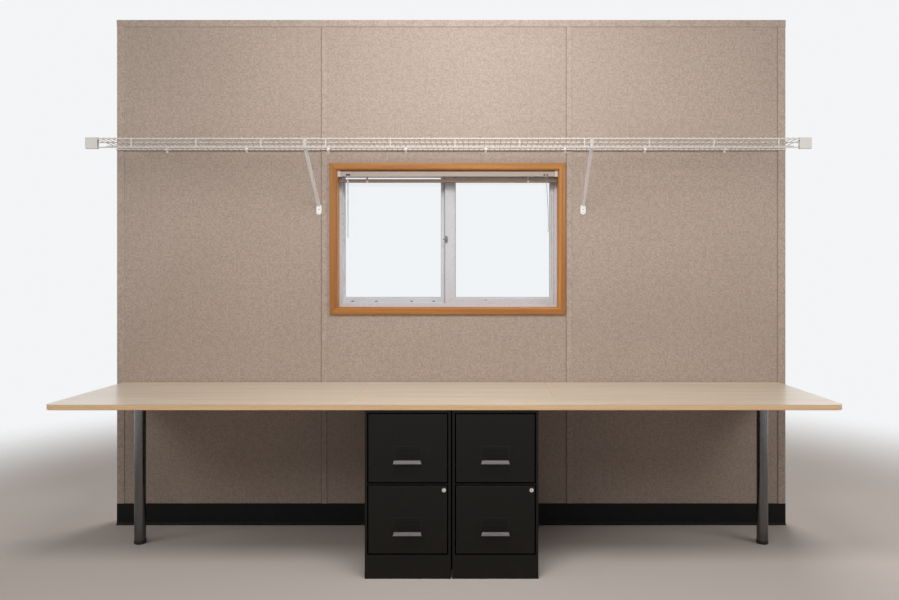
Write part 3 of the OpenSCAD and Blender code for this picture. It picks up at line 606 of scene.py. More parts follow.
def sidingFinish(name):
    # off-white paint with faint runs of dirt down from each rib and along the foot
    f = Finish(name, Roughness=0.42, Specular_IOR_Level=0.4)
    height = f.parts(f.place)[2]
    run = f.grain(1, (70, 70, 1.6), detail=4, roughness=0.65)
    foot = f.between(height + f.grain(9, detail=3) * 0.12, 0.05, 0.36, 0.45, 0)
    colour = f.blend(f.between(run, 0.5, 0.8, 0, 0.3), tone(226, 224, 217), tone(186, 181, 170))
    colour = f.blend(foot, colour, tone(160, 148, 130))
    return f.finished(
        Base_Color=colour, Roughness=f.between(run, 0.4, 0.7, 0, 0.15) + 0.42,
        Normal=f.bump(f.grain(420, detail=2), 0.06, 0.6),
    )


finishes = {
    "wall": wallFinish("wall_vinyl"),
    # the strips' vinyl is the wall's made 2% lighter: painted light that brings the strips out
    "strip": wallFinish("wall_strip_vinyl_painted_light", 1.02),
    "cove": plainFinish(
        "cove_rubber", (13, 12, 12), 0.6, 600, 0.08, ((32, 30, 28), 0.3), Specular_IOR_Level=0.2
    ),
    "oakX": woodFinish("oak_along_x", "X", oakLook),
    "oakZ": woodFinish("oak_along_z", "Z", oakLook),
    "oakDarker": woodFinish("darker_oak", "Z", oakDarker),
    "pineX": woodFinish("pine_along_x", "X", pineLook),
    "pineZ": woodFinish("pine_along_z", "Z", pineLook),
    "band": woodFinish("edge_band", "X", bandLook),
    "maple": woodFinish("maple_laminate", "X", mapleLook),
    "glass": glassFinish("pane_glass", (0.97, 0.99, 1.0, 1)),
    "acrylic": glassFinish("clear_acrylic", (0.88, 0.94, 0.97, 1), 0.3, 0.6),
    "latch": brushedFinish("latch_metal", (0.2, 0.19, 0.165, 1), 0.42, "Z"),
    "card": plainFinish("label_card", (20, 18, 15), 0.6, 900, 0.04, Specular_IOR_Level=0.2),
    "braid": braidFinish("cord_braid"),
    # steel far darker than bare metal: painted dark reflection of a dim room
    "steel": brushedFinish("satin_steel_painted_dark_reflection", (0.17, 0.166, 0.162, 1), 0.18, "Z"),
    "powder": powderFinish("black_powder_coat", (16, 13, 9)),
    # a lighter powder coat for the label holders' rims: painted highlight along their outline
    "rim": powderFinish("label_rim_painted_highlight", (36, 36, 34), 0.4),
    "pull": brushedFinish("satin_pull", (0.35, 0.325, 0.34, 1), 0.4, "X"),
    # pull tops and lock bezels in near-black metal: painted shade and painted dark reflection where these
    # faces would catch light
    "pullTop": brushedFinish("pull_top_painted_shade", (0.09, 0.085, 0.085, 1), 0.46, "X"),
    "chrome": brushedFinish("bright_lock", (1.0, 0.99, 0.97, 1), 0.36, "Z", 500),
    "zinc": brushedFinish("zinc_screw", (0.6, 0.58, 0.55, 1), 0.34, "X", 900),
    "sheathing": sheathingFinish("strand_board"),
    "siding": sidingFinish("siding_paint"),
}
for key, name, *look in (
    # dark band on the worktops' rounded front arris: painted shade that also dulls its highlight
    ("glue", "edge_glue_line", (58, 42, 30), 0.5),
    ("backer", "laminate_backer", (96, 76, 58), 0.6),
    ("vinyl", "window_vinyl", (212, 212, 217), 0.3, 500, 0.03, ((150, 142, 134), 0.12)),
    # dark rubber for the brush strip, also used as painted shade inside the fixed frame's drain slots and on
    # the sash's weep mark
    ("rubber", "glazing_rubber", (30, 30, 32), 0.6),
    # head rail darker and pinker than its white enamel: painted shade and painted reflection
    ("blind", "blind_enamel", (184, 170, 161), 0.32, 700, 0.03),
    # tan in place of the slats' ivory: painted shade of the stack in its recess
    ("slats", "slat_enamel", (138, 115, 96), 0.4, 700, 0.03),
    # paler, bluer copy of the vinyl: painted light on the fixed meeting member's recessed front
    ("felt", "meeting_felt", (222, 225, 231), 0.8, 900, 0.2),
    ("seal", "pane_seal", (138, 138, 143), 0.6),
    # dark lines beside the strips: painted shadow of their edges
    ("seam", "seam_filler", (152, 133, 120), 0.7, 900, 0.1),
    ("ivory", "ivory_plastic", (224, 214, 200), 0.35),
    ("strings", "bunched_strings", (118, 112, 106), 0.8, 1500, 0.3),
    ("caramel", "caramel_plastic", (214, 168, 122), 0.35),
    ("wire", "coated_wire", (222, 217, 213), 0.28, 340, 0.08),
    ("brace", "brace_enamel", (250, 252, 254), 0.4, 500, 0.04),
    # duller white for the braces' top tabs: painted shade
    ("tab", "brace_tab_enamel", (198, 192, 187), 0.4, 500, 0.04),
    ("moulded", "white_moulding", (216, 212, 208), 0.38, 700, 0.05),
    ("black", "black_plastic", (18, 17, 17), 0.45),
):
    finishes[key] = plainFinish(name, *look)
print("finishes ready")

dress(tassel, "ivory")
liftCord.data.materials.append(finishes["braid"])


# Screws, modelled once each and copied

def crossScrew(radius):
    # a domed head with a cross recess, upright at the origin
    head = turned("screw_model", [
        (radius, -0.3 * mm), (radius, 0.12 * radius), (0.93 * radius, 0.3 * radius),
        (0.7 * radius, 0.46 * radius), (0.36 * radius, 0.54 * radius), (0.05 * radius, 0.56 * radius),
    ], sides=20)
    for turn in range(2):
        arms = (0.52 * radius, 0.13 * radius)
        reach = arms[turn], arms[1 - turn]
        cut(head, block("cutter", (-reach[0], -reach[1], 0.22 * radius), (reach[0], reach[1], radius)))
    return smooth(head)


def hexScrew(radius):
    # a hexagon head on its washer, upright at the origin
    washer = turned("washer_model", [
        (1.6 * radius, 0), (1.6 * radius, 0.18 * radius), (1.3 * radius, 0.36 * radius),
        (0.6 * radius, 0.4 * radius),
    ], sides=18)
    head = turned("head_model", [
        (radius, 0.3 * radius), (radius, 1.05 * radius), (0.88 * radius, 1.15 * radius),
    ], sides=6)
    return join("screw_model", [washer, head])


def screws(name, radius, places, towards, finish="zinc", kind=crossScrew):
    matrices = [facing(place, towards, random.uniform(0, math.pi)) for place in places]
    return dress(scatter(name, kind(radius), matrices), finish)


# The wall: faced panels, strips, cove base and timber

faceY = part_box("panel_left")[0].y  # the panels' face, on the room's side


def makeWall():
    seam = {"from": (-4.6, -0.6, 0), "to": (0.3, 0.2, 0), "rounding": 0.5 * mm, "strip": 1.2 * mm}
    dressNode("wall", "panel_left", "panel_centre", "panel_right")
    strips = copyNode("strips", "joint_strips")
    low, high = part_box("joint_strips")
    feet = sorted({round(corner.co.x, 4) for corner in strips.data.vertices if near(corner.co.y, high.y)})
    dress(ease(strips, seam["strip"]), "strip")
    # painted shadow lines beside the strips
    shadowLines = [  # along the left foot of all strips but the first
        block("strip_shadow_lines", moved((x, faceY, low.z), seam["from"]), moved((x, faceY, high.z), seam["to"]))
        for x in feet[2::2]
    ]
    dress(ease(join("strip_shadow_lines", shadowLines), seam["rounding"]), "seam")
    dressNode("strip", "ceiling_strip")
    dressNode("cove", "cove_base")
    dressNode("pineX", "bottom_plate", "top_plate", "window_header", "window_sill_plate", "worktop_cleat")
    dressNode("pineZ", "end_stud_left", "end_stud_right", "studs", "cripple_studs")
    dressNode("sheathing", "sheathing")


makeWall()
print("wall dressed")


# Window: mitred trim, liner boards, welded frame, sliding sash and double panes

def makeWindowWood():
    wood = {"trimRounding": 0.7 * mm, "liner": 12 * mm, "linerRounding": 0.6 * mm}
    for side, finish in (("head", "oakX"), ("sill", "oakX"), ("left", "oakDarker"), ("right", "oakZ")):
        trim = ease(copyNode(f"trim_{side}", f"window_trim_{side}"), wood["trimRounding"])
        dress(trim, finish)
    low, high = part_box("window_liner")
    left, right = low.x + wood["liner"], high.x - wood["liner"]
    lower, upper = low.z + wood["liner"], high.z - wood["liner"]
    for side, start, end, finish in (
        ("head", (low.x, low.y, upper), high, "oakX"),
        ("sill", low, (high.x, high.y, lower), "oakX"),
        ("left", (low.x, low.y, lower), (left, high.y, upper), "oakZ"),
        ("right", (right, low.y, lower), (high.x, high.y, upper), "oakZ"),
    ):
        board = dress(ease(block(f"liner_{side}", start, end), wood["linerRounding"]), finish)
        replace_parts(board, "window_liner")


def makeWindowFrame():
    vinyl = {"play": 1 * mm, "behind": 14 * mm}  # around the sash, and the fixed frame behind it
    low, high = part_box("window_frame")
    sashLow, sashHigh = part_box("sliding_sash")
    track = high.x - sashHigh.x - vinyl["play"]
    outer = ringOf("frame_tracks", (low.x, low.z), (high.x, high.z), (track,) * 4, [
        (0, 0, low.y, 0), (1, -1.2, low.y, 0), (1, 0, low.y, 1.2), (1, 0, sashHigh.y, 0.3),
        (1, 3, sashHigh.y, 0.6), (1, 3, sashHigh.y, 2.2), (1, 0, sashHigh.y, 2.6),
        (1, 0, high.y, -1), (1, -1, high.y, 0), (0, 0, high.y, 0),
    ])
    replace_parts(dress(smooth(outer, 25), "vinyl"), "window_frame")
    makeGlazing(
        "fixed", (low.x + track, low.z + track), (sashLow.x + vinyl["behind"], high.z - track),
        sashHigh.y + vinyl["play"], high.y,
    )
    makeGlazing("sash", (sashLow.x, sashLow.z), (sashHigh.x, sashHigh.z), sashLow.y, sashHigh.y)
    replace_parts(bpy.data.objects["sash_frame"], "sliding_sash")
    dressNode("glass", "fixed_pane", "sash_pane")
    makeGuides(low, high, track, sashLow)
    makeSashFittings(sashLow, sashHigh)


def makeGlazing(name, low, high, front, back):
    # a welded frame with a stepped bead around its pane, and the dark gaskets against the glass
    paneLow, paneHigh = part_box(f"{name}_pane")
    glazing = {
        "held": 5, "gap": 0.2,  # mm of the pane in its groove, and around it there
        "lift": 1 * mm, "meeting": 6 * mm,
        "drain": 2 * mm, "drainFrom": 1 * mm, "drainTo": 4.5 * mm,
    }
    held, gap = glazing["held"], glazing["gap"]
    members = (
        paneLow.x + held * mm - low[0], high[0] - paneHigh.x + held * mm,
        paneLow.z + held * mm + glazing["lift"] - low[1], high[1] - paneHigh.z + held * mm,
    )
    edge = [
        (0, 0, front, 0.8), (0, 0.8, front, 0), (1, -5, front, 0), (1, -4.2, front, 0.8),
        (1, -4, front, 3.2), (1, -0.9, front, 4), (1, 0, front, 5), (1, 0, paneLow.y, -gap),
        (1, -held - gap, paneLow.y, -gap), (1, -held - gap, paneHigh.y, gap), (1, 0, paneHigh.y, gap),
        (1, 0, back, -3), (1, -2, back, -0.6), (1, -3, back, 0), (0, 0.8, back, 0), (0, 0, back, -0.8),
    ]
    piece = ringOf(f"{name}_frame", low, high, members, edge)
    if name == "fixed":
        drainZ = cutDrains(piece, paneLow, paneHigh, low, front)
    dress(smooth(piece, 25), "vinyl")
    if name == "fixed":
        meeting = paneHigh.x - glazing["meeting"]
        deepest = front + glazing["drainTo"]
        # the drain slots' inner walls in dark rubber: painted shade inside the slots
        paintFaces(piece, "rubber", lambda centre, normal:
                   abs(centre.z - drainZ) < glazing["drain"]
                   and front + glazing["drainFrom"] < centre.y < deepest)
        # the meeting member's front takes painted light
        paintFaces(piece, "felt", lambda centre, normal:
                   centre.x > meeting and centre.y < paneLow.y and normal.y < 0.5)
    for side, y, out in (("inner", paneLow.y, -1), ("outer", paneHigh.y, 1)):
        line = [
            (1, -0.4, y, out * 1.6), (1, 0.8, y, out * 1.3), (1, 1.8, y, out * 0.3),
            (1, 1.8, y, 0), (1, -0.4, y, 0),
        ]
        gasket = ringOf(f"{name}_gasket_{side}", low, high, members, line)
        dress(smooth(gasket, 40), "seal")


def cutDrains(piece, paneLow, paneHigh, low, front):
    # rounded drain slots through the lower rail's front
    drains = {
        "from": (-7.5, -1, -2), "to": (7.5, 4, 2), "rounding": 1.9 * mm, "across": 1 * mm,
        "shares": (0.09, 0.33, 0.69, 0.915),  # where they are, along the pane
    }
    z = (low[1] + paneLow.z) / 2
    for share in drains["shares"]:
        at = (paneLow.x + share * (paneHigh.x - paneLow.x), front, z)
        slot = block("slot_cutter", moved(at, drains["from"]), moved(at, drains["to"]))
        bevelEdges(slot, drains["rounding"], 4, lambda a, b: abs(a.y - b.y) > drains["across"])
        cut(piece, slot)
    return z


def makeGuides(low, high, track, sashLow):
    # lips of the empty track, above and below the fixed pane
    guides = {
        "lower": {"from": (-1, 0, -1), "to": (-4, 3, 6), "rounding": 0.8},
        "upper": {"from": (-1, 0, -6), "to": (-4, 3, 1), "rounding": 0.8},
    }
    for side, z in (("lower", low.z + track), ("upper", high.z - track)):
        start, end = (low.x + track, low.y, z), (sashLow.x, low.y, z)
        slab(f"track_lip_{side}", start, end, guides[side], "vinyl")


def makeSashFittings(low, high):
    # finger pull on the outer stile, brush strip down the meeting stile, a dark weep mark painted as the
    # shade in a weep slot, and corner screws
    pull = {"from": (-16, -3.2, 90), "to": (-9, 0.5, -90), "taper": 3 * mm, "rounding": 0.9 * mm}
    brush = {"from": (-2.5, -7, 4), "to": (0.5, -1, -4), "rounding": 0.8}
    weep = {"from": (-5.5, -0.7, -1.3), "to": (5.5, 0.3, 1.3), "rounding": 0.3, "at": (172, 20)}
    screw = {"at": (-6 * mm, 516 * mm), "size": 2.6 * mm}
    start = moved((high.x, low.y, low.z), pull["from"])
    end = moved((high.x, low.y, high.z), pull["to"])
    grip = block("sash_pull", start, end)
    choose(grip, "VERT", lambda at: at.y < low.y and at.x > (start[0] + end[0]) / 2)
    bpy.ops.transform.translate(value=(-pull["taper"], 0, 0))
    switch("OBJECT")
    dress(ease(grip, pull["rounding"]), "vinyl")
    slab("brush_strip", (low.x, high.y, low.z), (low.x, high.y, high.z), brush, "rubber")
    across, up = weep["at"]
    middle = (across * mm, low.y, low.z + up * mm)
    slab("sash_weep_painted_shade", middle, middle, weep, "rubber")
    screws("sash_screws", screw["size"], [(x, low.y, middle[2]) for x in screw["at"]], (0, -1, 0))


def makeLatch():
    latch = {
        "rounding": 0.7 * mm, "in": 7 * mm, "proud": 4 * mm, "screwUp": 12.5 * mm, "screwSize": 2.4 * mm,
    }
    low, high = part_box("sash_latch")
    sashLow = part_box("sliding_sash")[0]
    dress(ease(copyNode("latch_body", "sash_latch"), latch["rounding"]), "latch")
    x, y = sashLow.x + latch["in"], sashLow.y - latch["proud"]
    middle = (low.z + high.z) / 2
    places = [(x, y, middle + up * latch["screwUp"]) for up in (-1, 1)]
    screws("latch_screws", latch["screwSize"], places, (0, -1, 0))


makeWindowWood()
makeWindowFrame()
makeLatch()
print("window made")


# Blind: head rail, slats, bunched strings, bottom rail and wand

def makeBlind():
    blind = {
        "railRounding": 0.4 * mm, "bottomRounding": 0.5 * mm,
        "hanger": 14 * mm,  # each white bracket over an end of the rail
        "inside": {"from": (-16, -21, 3), "to": (16, -5, 19), "rounding": 1},
        "stringsIn": 141 * mm,
        "plug": [(5, -0.5), (5, 0.6), (4.2, 1.4), (2, 1.6)],  # its steps, as (radius, height) in mm
        "bunch": {"from": (-4, -0.9, 0), "to": (4, 1.7, 0), "rounding": 1},
        "clip": {"from": (-5.5, -1.3, -1), "to": (5.5, 1.7, 2), "rounding": 1},
    }
    low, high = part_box("blind_head_rail")
    rail = ease(copyNode("head_rail", "blind_head_rail"), blind["railRounding"], 1)
    # the rail's tone is painted shade and reflection; its white end hangers keep the vinyl
    dress(rail, "blind")
    paintFaces(rail, "vinyl", lambda centre, normal:
               not low.x + blind["hanger"] < centre.x < high.x - blind["hanger"])
    # slats and bottom rail in the tan of painted shade
    dressNode("slats", "blind_slats")
    bottom = ease(copyNode("bottom_rail", "blind_bottom_rail"), blind["bottomRounding"])
    dress(bottom, "slats")
    dressNode("acrylic", "blind_wand")
    wandLow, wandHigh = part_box("blind_wand")
    cordX = liftCord.data.splines[0].bezier_points[0].co.x
    # the tilter and cord lock inside the rail: real parts, made black as painted shade of the cavity seen
    # through the slots
    for name, x in (("tilter_body", (wandLow.x + wandHigh.x) / 2), ("lock_body", cordX)):
        slab(name, (x, high.y, low.z), (x, high.y, low.z), blind["inside"], "black")
    foot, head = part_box("blind_bottom_rail")
    for side, x in (("left", foot.x + blind["stringsIn"]), ("right", head.x - blind["stringsIn"])):
        middle = (x, (foot.y + head.y) / 2, foot.z)
        plug = turned(f"string_plug_{side}", inMetres(blind["plug"]), middle, (0, 0, -1))
        dress(plug, "ivory")
        start, above, end = ((x, foot.y, z) for z in (foot.z, head.z, low.z))
        slab(f"string_bunch_{side}", above, end, blind["bunch"], "strings")
        slab(f"string_clip_{side}", start, above, blind["clip"], "caramel")


makeBlind()
print("blind made")


# Wire shelf

def makeShelf():
    shelf = {
        "wire": 1.8 * mm, "wirePitch": 25.4 * mm, "wireShort": 1 * mm, "wireEnds": 0.9 * mm,
        "rod": 3 * mm, "rods": 4, "rodEnds": 1.4 * mm, "offWall": 11 * mm, "fused": 0.6 * mm,
        "upright": 2.5 * mm, "uprights": 11, "uprightPitch": 298 * mm, "uprightFrom": 30 * mm,
        "plasticRounding": 0.5 * mm,
    }

    def repeat(bar, count, pitch):
        modify(bar, "ARRAY", count=count, use_relative_offset=False, use_constant_offset=True,
               constant_offset_displace=(pitch, 0, 0))

    left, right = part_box("shelf_deck_left")[0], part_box("shelf_deck_right")[1]
    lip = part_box("shelf_lip")[0]
    pitch = shelf["wirePitch"]
    count = 2 * (math.floor((right.x - left.x - 2 * pitch) / pitch / 2) + 1)
    start = -(count - 1) / 2 * pitch
    wireZ = right.z - shelf["wire"]
    backEnd = (start, left.y + shelf["wireShort"], wireZ)
    wires = rod("deck_wires", backEnd, (start, right.y, wireZ), shelf["wire"], 10)
    rounded(wires, shelf["wireEnds"], 2, 60)
    repeat(wires, count, pitch)
    dress(smooth(wires, 40), "wire")
    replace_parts(wires, "shelf_deck_left", "shelf_deck_right")
    frontY = lip.y + shelf["rod"]
    backY = faceY - shelf["offWall"]
    rodZ = right.z - 2 * shelf["wire"] - shelf["rod"] + shelf["fused"]
    lowZ = lip.z + shelf["rod"]
    spots = [(frontY + i * (backY - frontY) / (shelf["rods"] - 1), rodZ) for i in range(shelf["rods"])]
    rods = join("shelf_rods", [
        rod("shelf_rod", (left.x, y, z), (right.x, y, z), shelf["rod"], 14)
        for y, z in spots + [(frontY, lowZ)]
    ])
    rounded(rods, shelf["rodEnds"], 3, 60)
    dress(smooth(rods, 40), "wire")
    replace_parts(rods, "shelf_lip")
    x = shelf["uprightFrom"] - (shelf["uprights"] - 1) / 2 * shelf["uprightPitch"]
    uprights = rod("lip_uprights", (x, frontY, lowZ), (x, frontY, rodZ), shelf["upright"], 12)
    repeat(uprights, shelf["uprights"], shelf["uprightPitch"])
    dress(smooth(uprights, 40), "wire")
    for name, node, finish in (
        ("end_bracket_left", "shelf_end_left", "moulded"),
        ("end_bracket_right", "shelf_end_right", "moulded"), ("wall_clips", "shelf_clips", "brace"),
    ):
        dress(ease(copyNode(name, node), shelf["plasticRounding"]), finish)
    makeBraces(lip.y)


def makeBraces(lipY):
    # the bars from the wall to the shelf's front, with a screw in each foot
    bar = {
        "rounding": 1.6 * mm, "footTall": 26 * mm, "behind": 0.5 * mm, "tab": 1 * mm, "screwSize": 4 * mm,
    }
    places = []
    for side in ("left", "right"):
        brace = copyNode(f"brace_{side}", f"shelf_brace_{side}")
        low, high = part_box(f"shelf_brace_{side}")
        footZ = low.z + bar["footTall"]
        front = max(
            corner.co.y for corner in brace.data.vertices
            if corner.co.z < footZ and corner.co.y < high.y - bar["behind"]
        )
        dress(ease(brace, bar["rounding"], 3), "brace")
        # the tab in front of the lip takes painted shade
        paintFaces(brace, "tab", lambda centre, normal: centre.y < lipY + bar["tab"])
        places.append(((low.x + high.x) / 2, front, footZ))
    screws("brace_screws", bar["screwSize"], places, (0, -1, 0))


makeShelf()
print("shelf made")


# Worktop, cleat and legs

def makeWorktop():
    edge = {"rounding": 2.2 * mm, "top": 0.75, "glue": 0.45, "forward": -0.1, "under": -0.9}
    for side in ("left", "centre", "right"):
        top = ease(copyNode(f"top_{side}", f"worktop_{side}"), edge["rounding"], 3)
        dress(top, "band")
        paintFaces(top, "maple", lambda centre, normal: normal.z > edge["top"])
        # the rounded front arris takes painted shade
        paintFaces(top, "glue", lambda centre, normal:
                   edge["glue"] < normal.z < edge["top"] and normal.y < edge["forward"])
        paintFaces(top, "backer", lambda centre, normal: normal.z < edge["under"])


def around(place, out):
    # four places, out from one to either side along X and Y
    return [moved(place, (dx * out[0], dy * out[1], out[2])) for dx in (-1, 1) for dy in (-1, 1)]


def makeLegs():
    leg = {  # steps as (radius, height) in millimetres
        "tube": [(25.5, 16), (25.5, 18)],  # up from the floor, and the top's from the worktop
        "top": [(25.5, -16), (27.5, -16), (28.5, -15), (28.5, -4), (54, -4), (55, -3), (55, 0)],
        "foot": [
            (25, 0), (25.8, 0.8), (26.9, 4), (27, 6), (26.8, 11), (26.4, 17.4), (26, 18), (24, 18.3),
        ],
        "screwsOut": (29.694, 29.694, -4), "screwSize": 4 * mm,
    }
    for side in ("left", "right"):
        low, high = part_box(f"leg_{side}")
        middle = (low + high) / 2
        top = [(radius, high.z + height) for radius, height in inMetres(leg["top"])]
        tube = turned(f"leg_tube_{side}", inMetres(leg["tube"]) + top, (middle.x, middle.y, 0), sides=64)
        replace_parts(dress(tube, "steel"), f"leg_{side}")
        foot = turned(f"leg_foot_{side}", inMetres(leg["foot"]), (middle.x, middle.y, 0), sides=64)
        dress(foot, "black")
        places = around((middle.x, middle.y, high.z), leg["screwsOut"])
        screws(f"leg_screws_{side}", leg["screwSize"], places, (0, 0, -1))


def makeFixings():
    # mending plates under the worktop's joints, and the cleat's screws into the wall
    fix = {
        "plate": {"from": (-19, -75, -2), "to": (19, 75, 0), "rounding": 0.6},
        "back": (190 * mm, 500 * mm), "screwsOut": (11, 56, -2), "screwSize": 3.6 * mm,
        "cleatScrews": 9, "cleatIn": 90 * mm,
    }
    low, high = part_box("worktop_centre")
    places = []
    for side, x in (("left", low.x), ("right", high.x)):
        for number, back in enumerate(fix["back"]):
            at = (x, low.y + back, low.z)
            slab(f"joint_plate_{side}_{number}", at, at, fix["plate"], "zinc")
            places += around(at, fix["screwsOut"])
    screws("joint_screws", fix["screwSize"], places, (0, 0, -1))
    low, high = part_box("worktop_cleat")
    step = (high.x - low.x - 2 * fix["cleatIn"]) / (fix["cleatScrews"] - 1)
    z = (low.z + high.z) / 2
    places = [(low.x + fix["cleatIn"] + i * step, low.y, z) for i in range(fix["cleatScrews"])]
    screws("cleat_screws", fix["screwSize"], places, (0, -1, 0))


makeWorktop()
makeLegs()
makeFixings()
print("desk made")


# File cabinets and their drawers

def bothAt(a, b, axis, *values):
    # whether an edge lies at one of the values on an axis
    return any(near(a[axis], value) and near(b[axis], value) for value in values)


def makeCabinets():
    shell = {"rounding": 2 * mm, "tall": 20 * mm, "wide": 200 * mm}
    for side in ("left", "right"):
        piece = copyNode(f"shell_{side}", f"cabinet_{side}")
        low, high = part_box(f"cabinet_{side}")

        def outer(a, b):
            upright = abs(a.z - b.z) > shell["tall"] and bothAt(a, b, 0, low.x, high.x)
            level = abs(a.x - b.x) > shell["wide"] and bothAt(a, b, 2, high.z)
            return (upright or level) and bothAt(a, b, 1, low.y)

        bevelEdges(piece, shell["rounding"], 3, outer)
        dress(smooth(piece), "powder")
        for level in ("lower", "upper"):
            makeDrawer(side, level)


def makeDrawer(side, level):
    face = {"rounding": 2.4 * mm, "pullRounding": 0.5 * mm, "pullTop": 0.35}
    holder = {
        "up": 98 * mm, "tall": 52 * mm, "half": 58 * mm, "bar": 4 * mm, "foot": -1.3, "crest": -1.85,
    }
    card = {"from": (-43, -0.8, 10.16), "to": (43, 0.3, 29.36), "rounding": 0.3}
    lock = {"size": 22 * mm, "core": 8.3 * mm, "proud": 2.5 * mm}
    body = f"{side}_{level}_drawer"
    box = copyNode(f"drawer_body_{side}_{level}", f"drawer_{side}_{level}")
    low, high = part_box(f"drawer_{side}_{level}")
    front = min(corner.co.y for corner in box.data.vertices if near(corner.co.z, high.z))
    across = [corner.co.x for corner in box.data.vertices if near(corner.co.y, front)]
    bevelEdges(box, face["rounding"], 4, lambda a, b: bothAt(a, b, 1, front) and (
        bothAt(a, b, 0, min(across), max(across)) or bothAt(a, b, 2, low.z, high.z)
    ))
    dress(smooth(box), "powder", body)
    middle = (low.x + high.x) / 2
    holderZ = low.z + holder["up"]
    at = (middle, front, holderZ)
    slab(f"label_card_{side}_{level}", at, at, card, "card", body)
    foot, crest = holder["foot"], holder["crest"]
    rim = ringOf(
        f"label_rim_{side}_{level}", (middle - holder["half"], holderZ),
        (middle + holder["half"], holderZ + holder["tall"]), (holder["bar"],) * 4,
        [(0.08, 0, front, foot), (0.2, 0, front, crest), (0.8, 0, front, crest), (0.92, 0, front, foot)],
    )
    # the rim's lighter coat is a painted highlight
    dress(smooth(rim, 60), "rim", body)
    pull = ease(copyNode(f"pull_bar_{side}_{level}", f"pull_{side}_{level}"), face["pullRounding"])
    dress(pull, "pull", body)
    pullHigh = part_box(f"pull_{side}_{level}")[1]
    core = Vector((pullHigh.x - lock["size"] / 2, 0, pullHigh.z - lock["size"] / 2))

    def inLock(centre, reach):
        return level == "lower" and math.hypot(centre.x - core.x, centre.z - core.z) < reach

    # pull tops and the lower locks' bezels take painted shade
    paintFaces(pull, "pullTop", lambda centre, normal:
               normal.z > face["pullTop"] or inLock(centre, lock["size"]))
    paintFaces(pull, "chrome", lambda centre, normal:
               inLock(centre, lock["core"]) and centre.y < front - lock["proud"])


makeCabinets()
print("cabinets made")


# Outside

def makeOutside():
    outside = {
        "trim": 40 * mm, "ribs": 15, "pitch": 228 * mm, "beside": 62 * mm, "screwSize": 4.2 * mm,
        "rows": (45, 640, 1260, 1880, 2475), "ribHigh": 5 * mm, "endIn": 10 * mm, "clear": 20 * mm,
    }
    clear = outside["clear"]
    dressNode("siding", "siding")
    low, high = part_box("outer_window_trim")
    trim = ringOf("outer_trim", (low.x, low.z), (high.x, high.z), (outside["trim"],) * 4, [
        (0, 0, low.y, 0), (0, 0, high.y, -2), (0, 2, high.y, 0), (1, -2, high.y, 0),
        (1, 0, high.y, -2), (1, 0, low.y, 0),
    ])
    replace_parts(dress(smooth(trim, 25), "vinyl"), "outer_window_trim")
    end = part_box("siding")[1]
    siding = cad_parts["siding"].data.vertices
    flat = max(corner.co.y for corner in siding if corner.co.y < end.y - outside["ribHigh"])
    places = []
    for row in outside["rows"]:
        z = row * mm
        for rib in range(outside["ribs"]):
            x = (rib - (outside["ribs"] - 1) / 2) * outside["pitch"] + outside["beside"]
            hidden = low.x - clear < x < high.x + clear and low.z - clear < z < high.z + clear
            if x < end.x - outside["endIn"] and not hidden:
                places.append((x, flat, z))
    screws("siding_screws", outside["screwSize"], places, (0, 1, 0), "siding", hexScrew)


makeOutside()
print("outside made")


# Floor and light

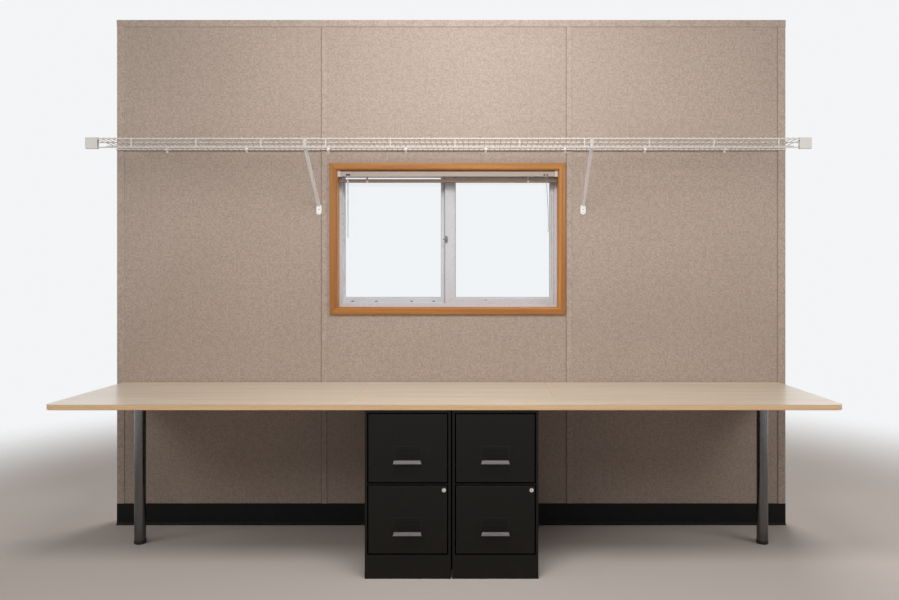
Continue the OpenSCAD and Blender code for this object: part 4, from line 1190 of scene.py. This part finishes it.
def makeStage():
    studio = {
        "size": 40, "fadeFrom": 2.4, "fadeTo": 4.6,
        "paint": tone(220, 210, 203), "dust": tone(205, 194, 187), "most": 0.05,
    }
    letGo()
    bpy.ops.mesh.primitive_plane_add(size=studio["size"], location=(0, 0, 0))
    floor = settle("studio_floor")
    f = Finish("floor_paint", Roughness=0.75, Specular_IOR_Level=0.2)
    away = f.node("VectorMath", {"operation": "LENGTH"}, {0: f.place}, output="Value")
    shown = f.node("MixShader", sockets={
        0: f.between(away, studio["fadeFrom"], studio["fadeTo"]),
        1: Wire(f, f.shader.outputs[0]), 2: f.node("BsdfTransparent"),
    })
    f.feed(f.tree.nodes["Material Output"].inputs["Surface"], shown)
    dust = f.between(f.grain(30, detail=4), 0.4, 0.7, 0, studio["most"])
    floor.data.materials.append(f.finished(Base_Color=f.blend(dust, studio["paint"], studio["dust"])))


def makeLamps():
    warm = (1.0, 0.985, 0.965)
    lamps = {  # where each is, what it is aimed at, its size and its power
        "over": ((0.12, -1.65, 2.8), (0.08, -0.1, 0.95), (1.4, 0.7), 33),
        "front": ((-1.0, -4.4, 3.3), (0.0, 0.0, 1.2), (2.6, 1.1), 32),
        "left": ((-2.6, -1.5, 1.75), (0.0, 0.0, 1.4), (1.2, 0.7), 9),
        "right": ((2.6, -1.5, 1.75), (0.0, 0.0, 1.4), (1.2, 0.7), 12.5),
        "rear": ((1.5, 4.8, 5.8), (0.0, 0.0, 1.2), (3.5, 2.5), 190),
    }
    for name, (place, aim, size, power) in lamps.items():
        turn = (Vector(aim) - Vector(place)).to_track_quat("-Z", "Y")
        bpy.ops.object.light_add(type="AREA", location=place, rotation=turn.to_euler())
        source = bpy.context.object
        source.name = f"lamp_{name}"
        source.data.shape = "RECTANGLE"
        source.data.size, source.data.size_y = size
        source.data.energy = power
        source.data.color = warm


def makeWorld():
    # dim light from all round, and a paler backdrop where it is looked at, mirrored or seen through glass
    sky = {
        "around": {"Color": (1.0, 0.99, 0.98, 1), "Strength": 0.11},
        "backdrop": {"Color": (0.9, 0.91, 0.92, 1), "Strength": 1.0},
    }
    world = bpy.context.scene.world or bpy.data.worlds.new("studio")
    bpy.context.scene.world = world
    world.use_nodes = True
    w = Nodes(world.node_tree)
    w.tree.nodes.clear()
    camera, glossy, through = (
        w.node("LightPath", output=ray)
        for ray in ("Is Camera Ray", "Is Glossy Ray", "Is Transmission Ray")
    )
    shown = w.node("MixShader", sockets={
        0: camera.larger(glossy).larger(through),
        1: w.node("Background", sockets=sky["around"]),
        2: w.node("Background", sockets=sky["backdrop"]),
    })
    w.feed(w.tree.nodes.new("ShaderNodeOutputWorld").inputs["Surface"], shown)
    bpy.context.scene.view_settings.view_transform = "Standard"


makeStage()
makeLamps()
makeWorld()
print("floor and light set")
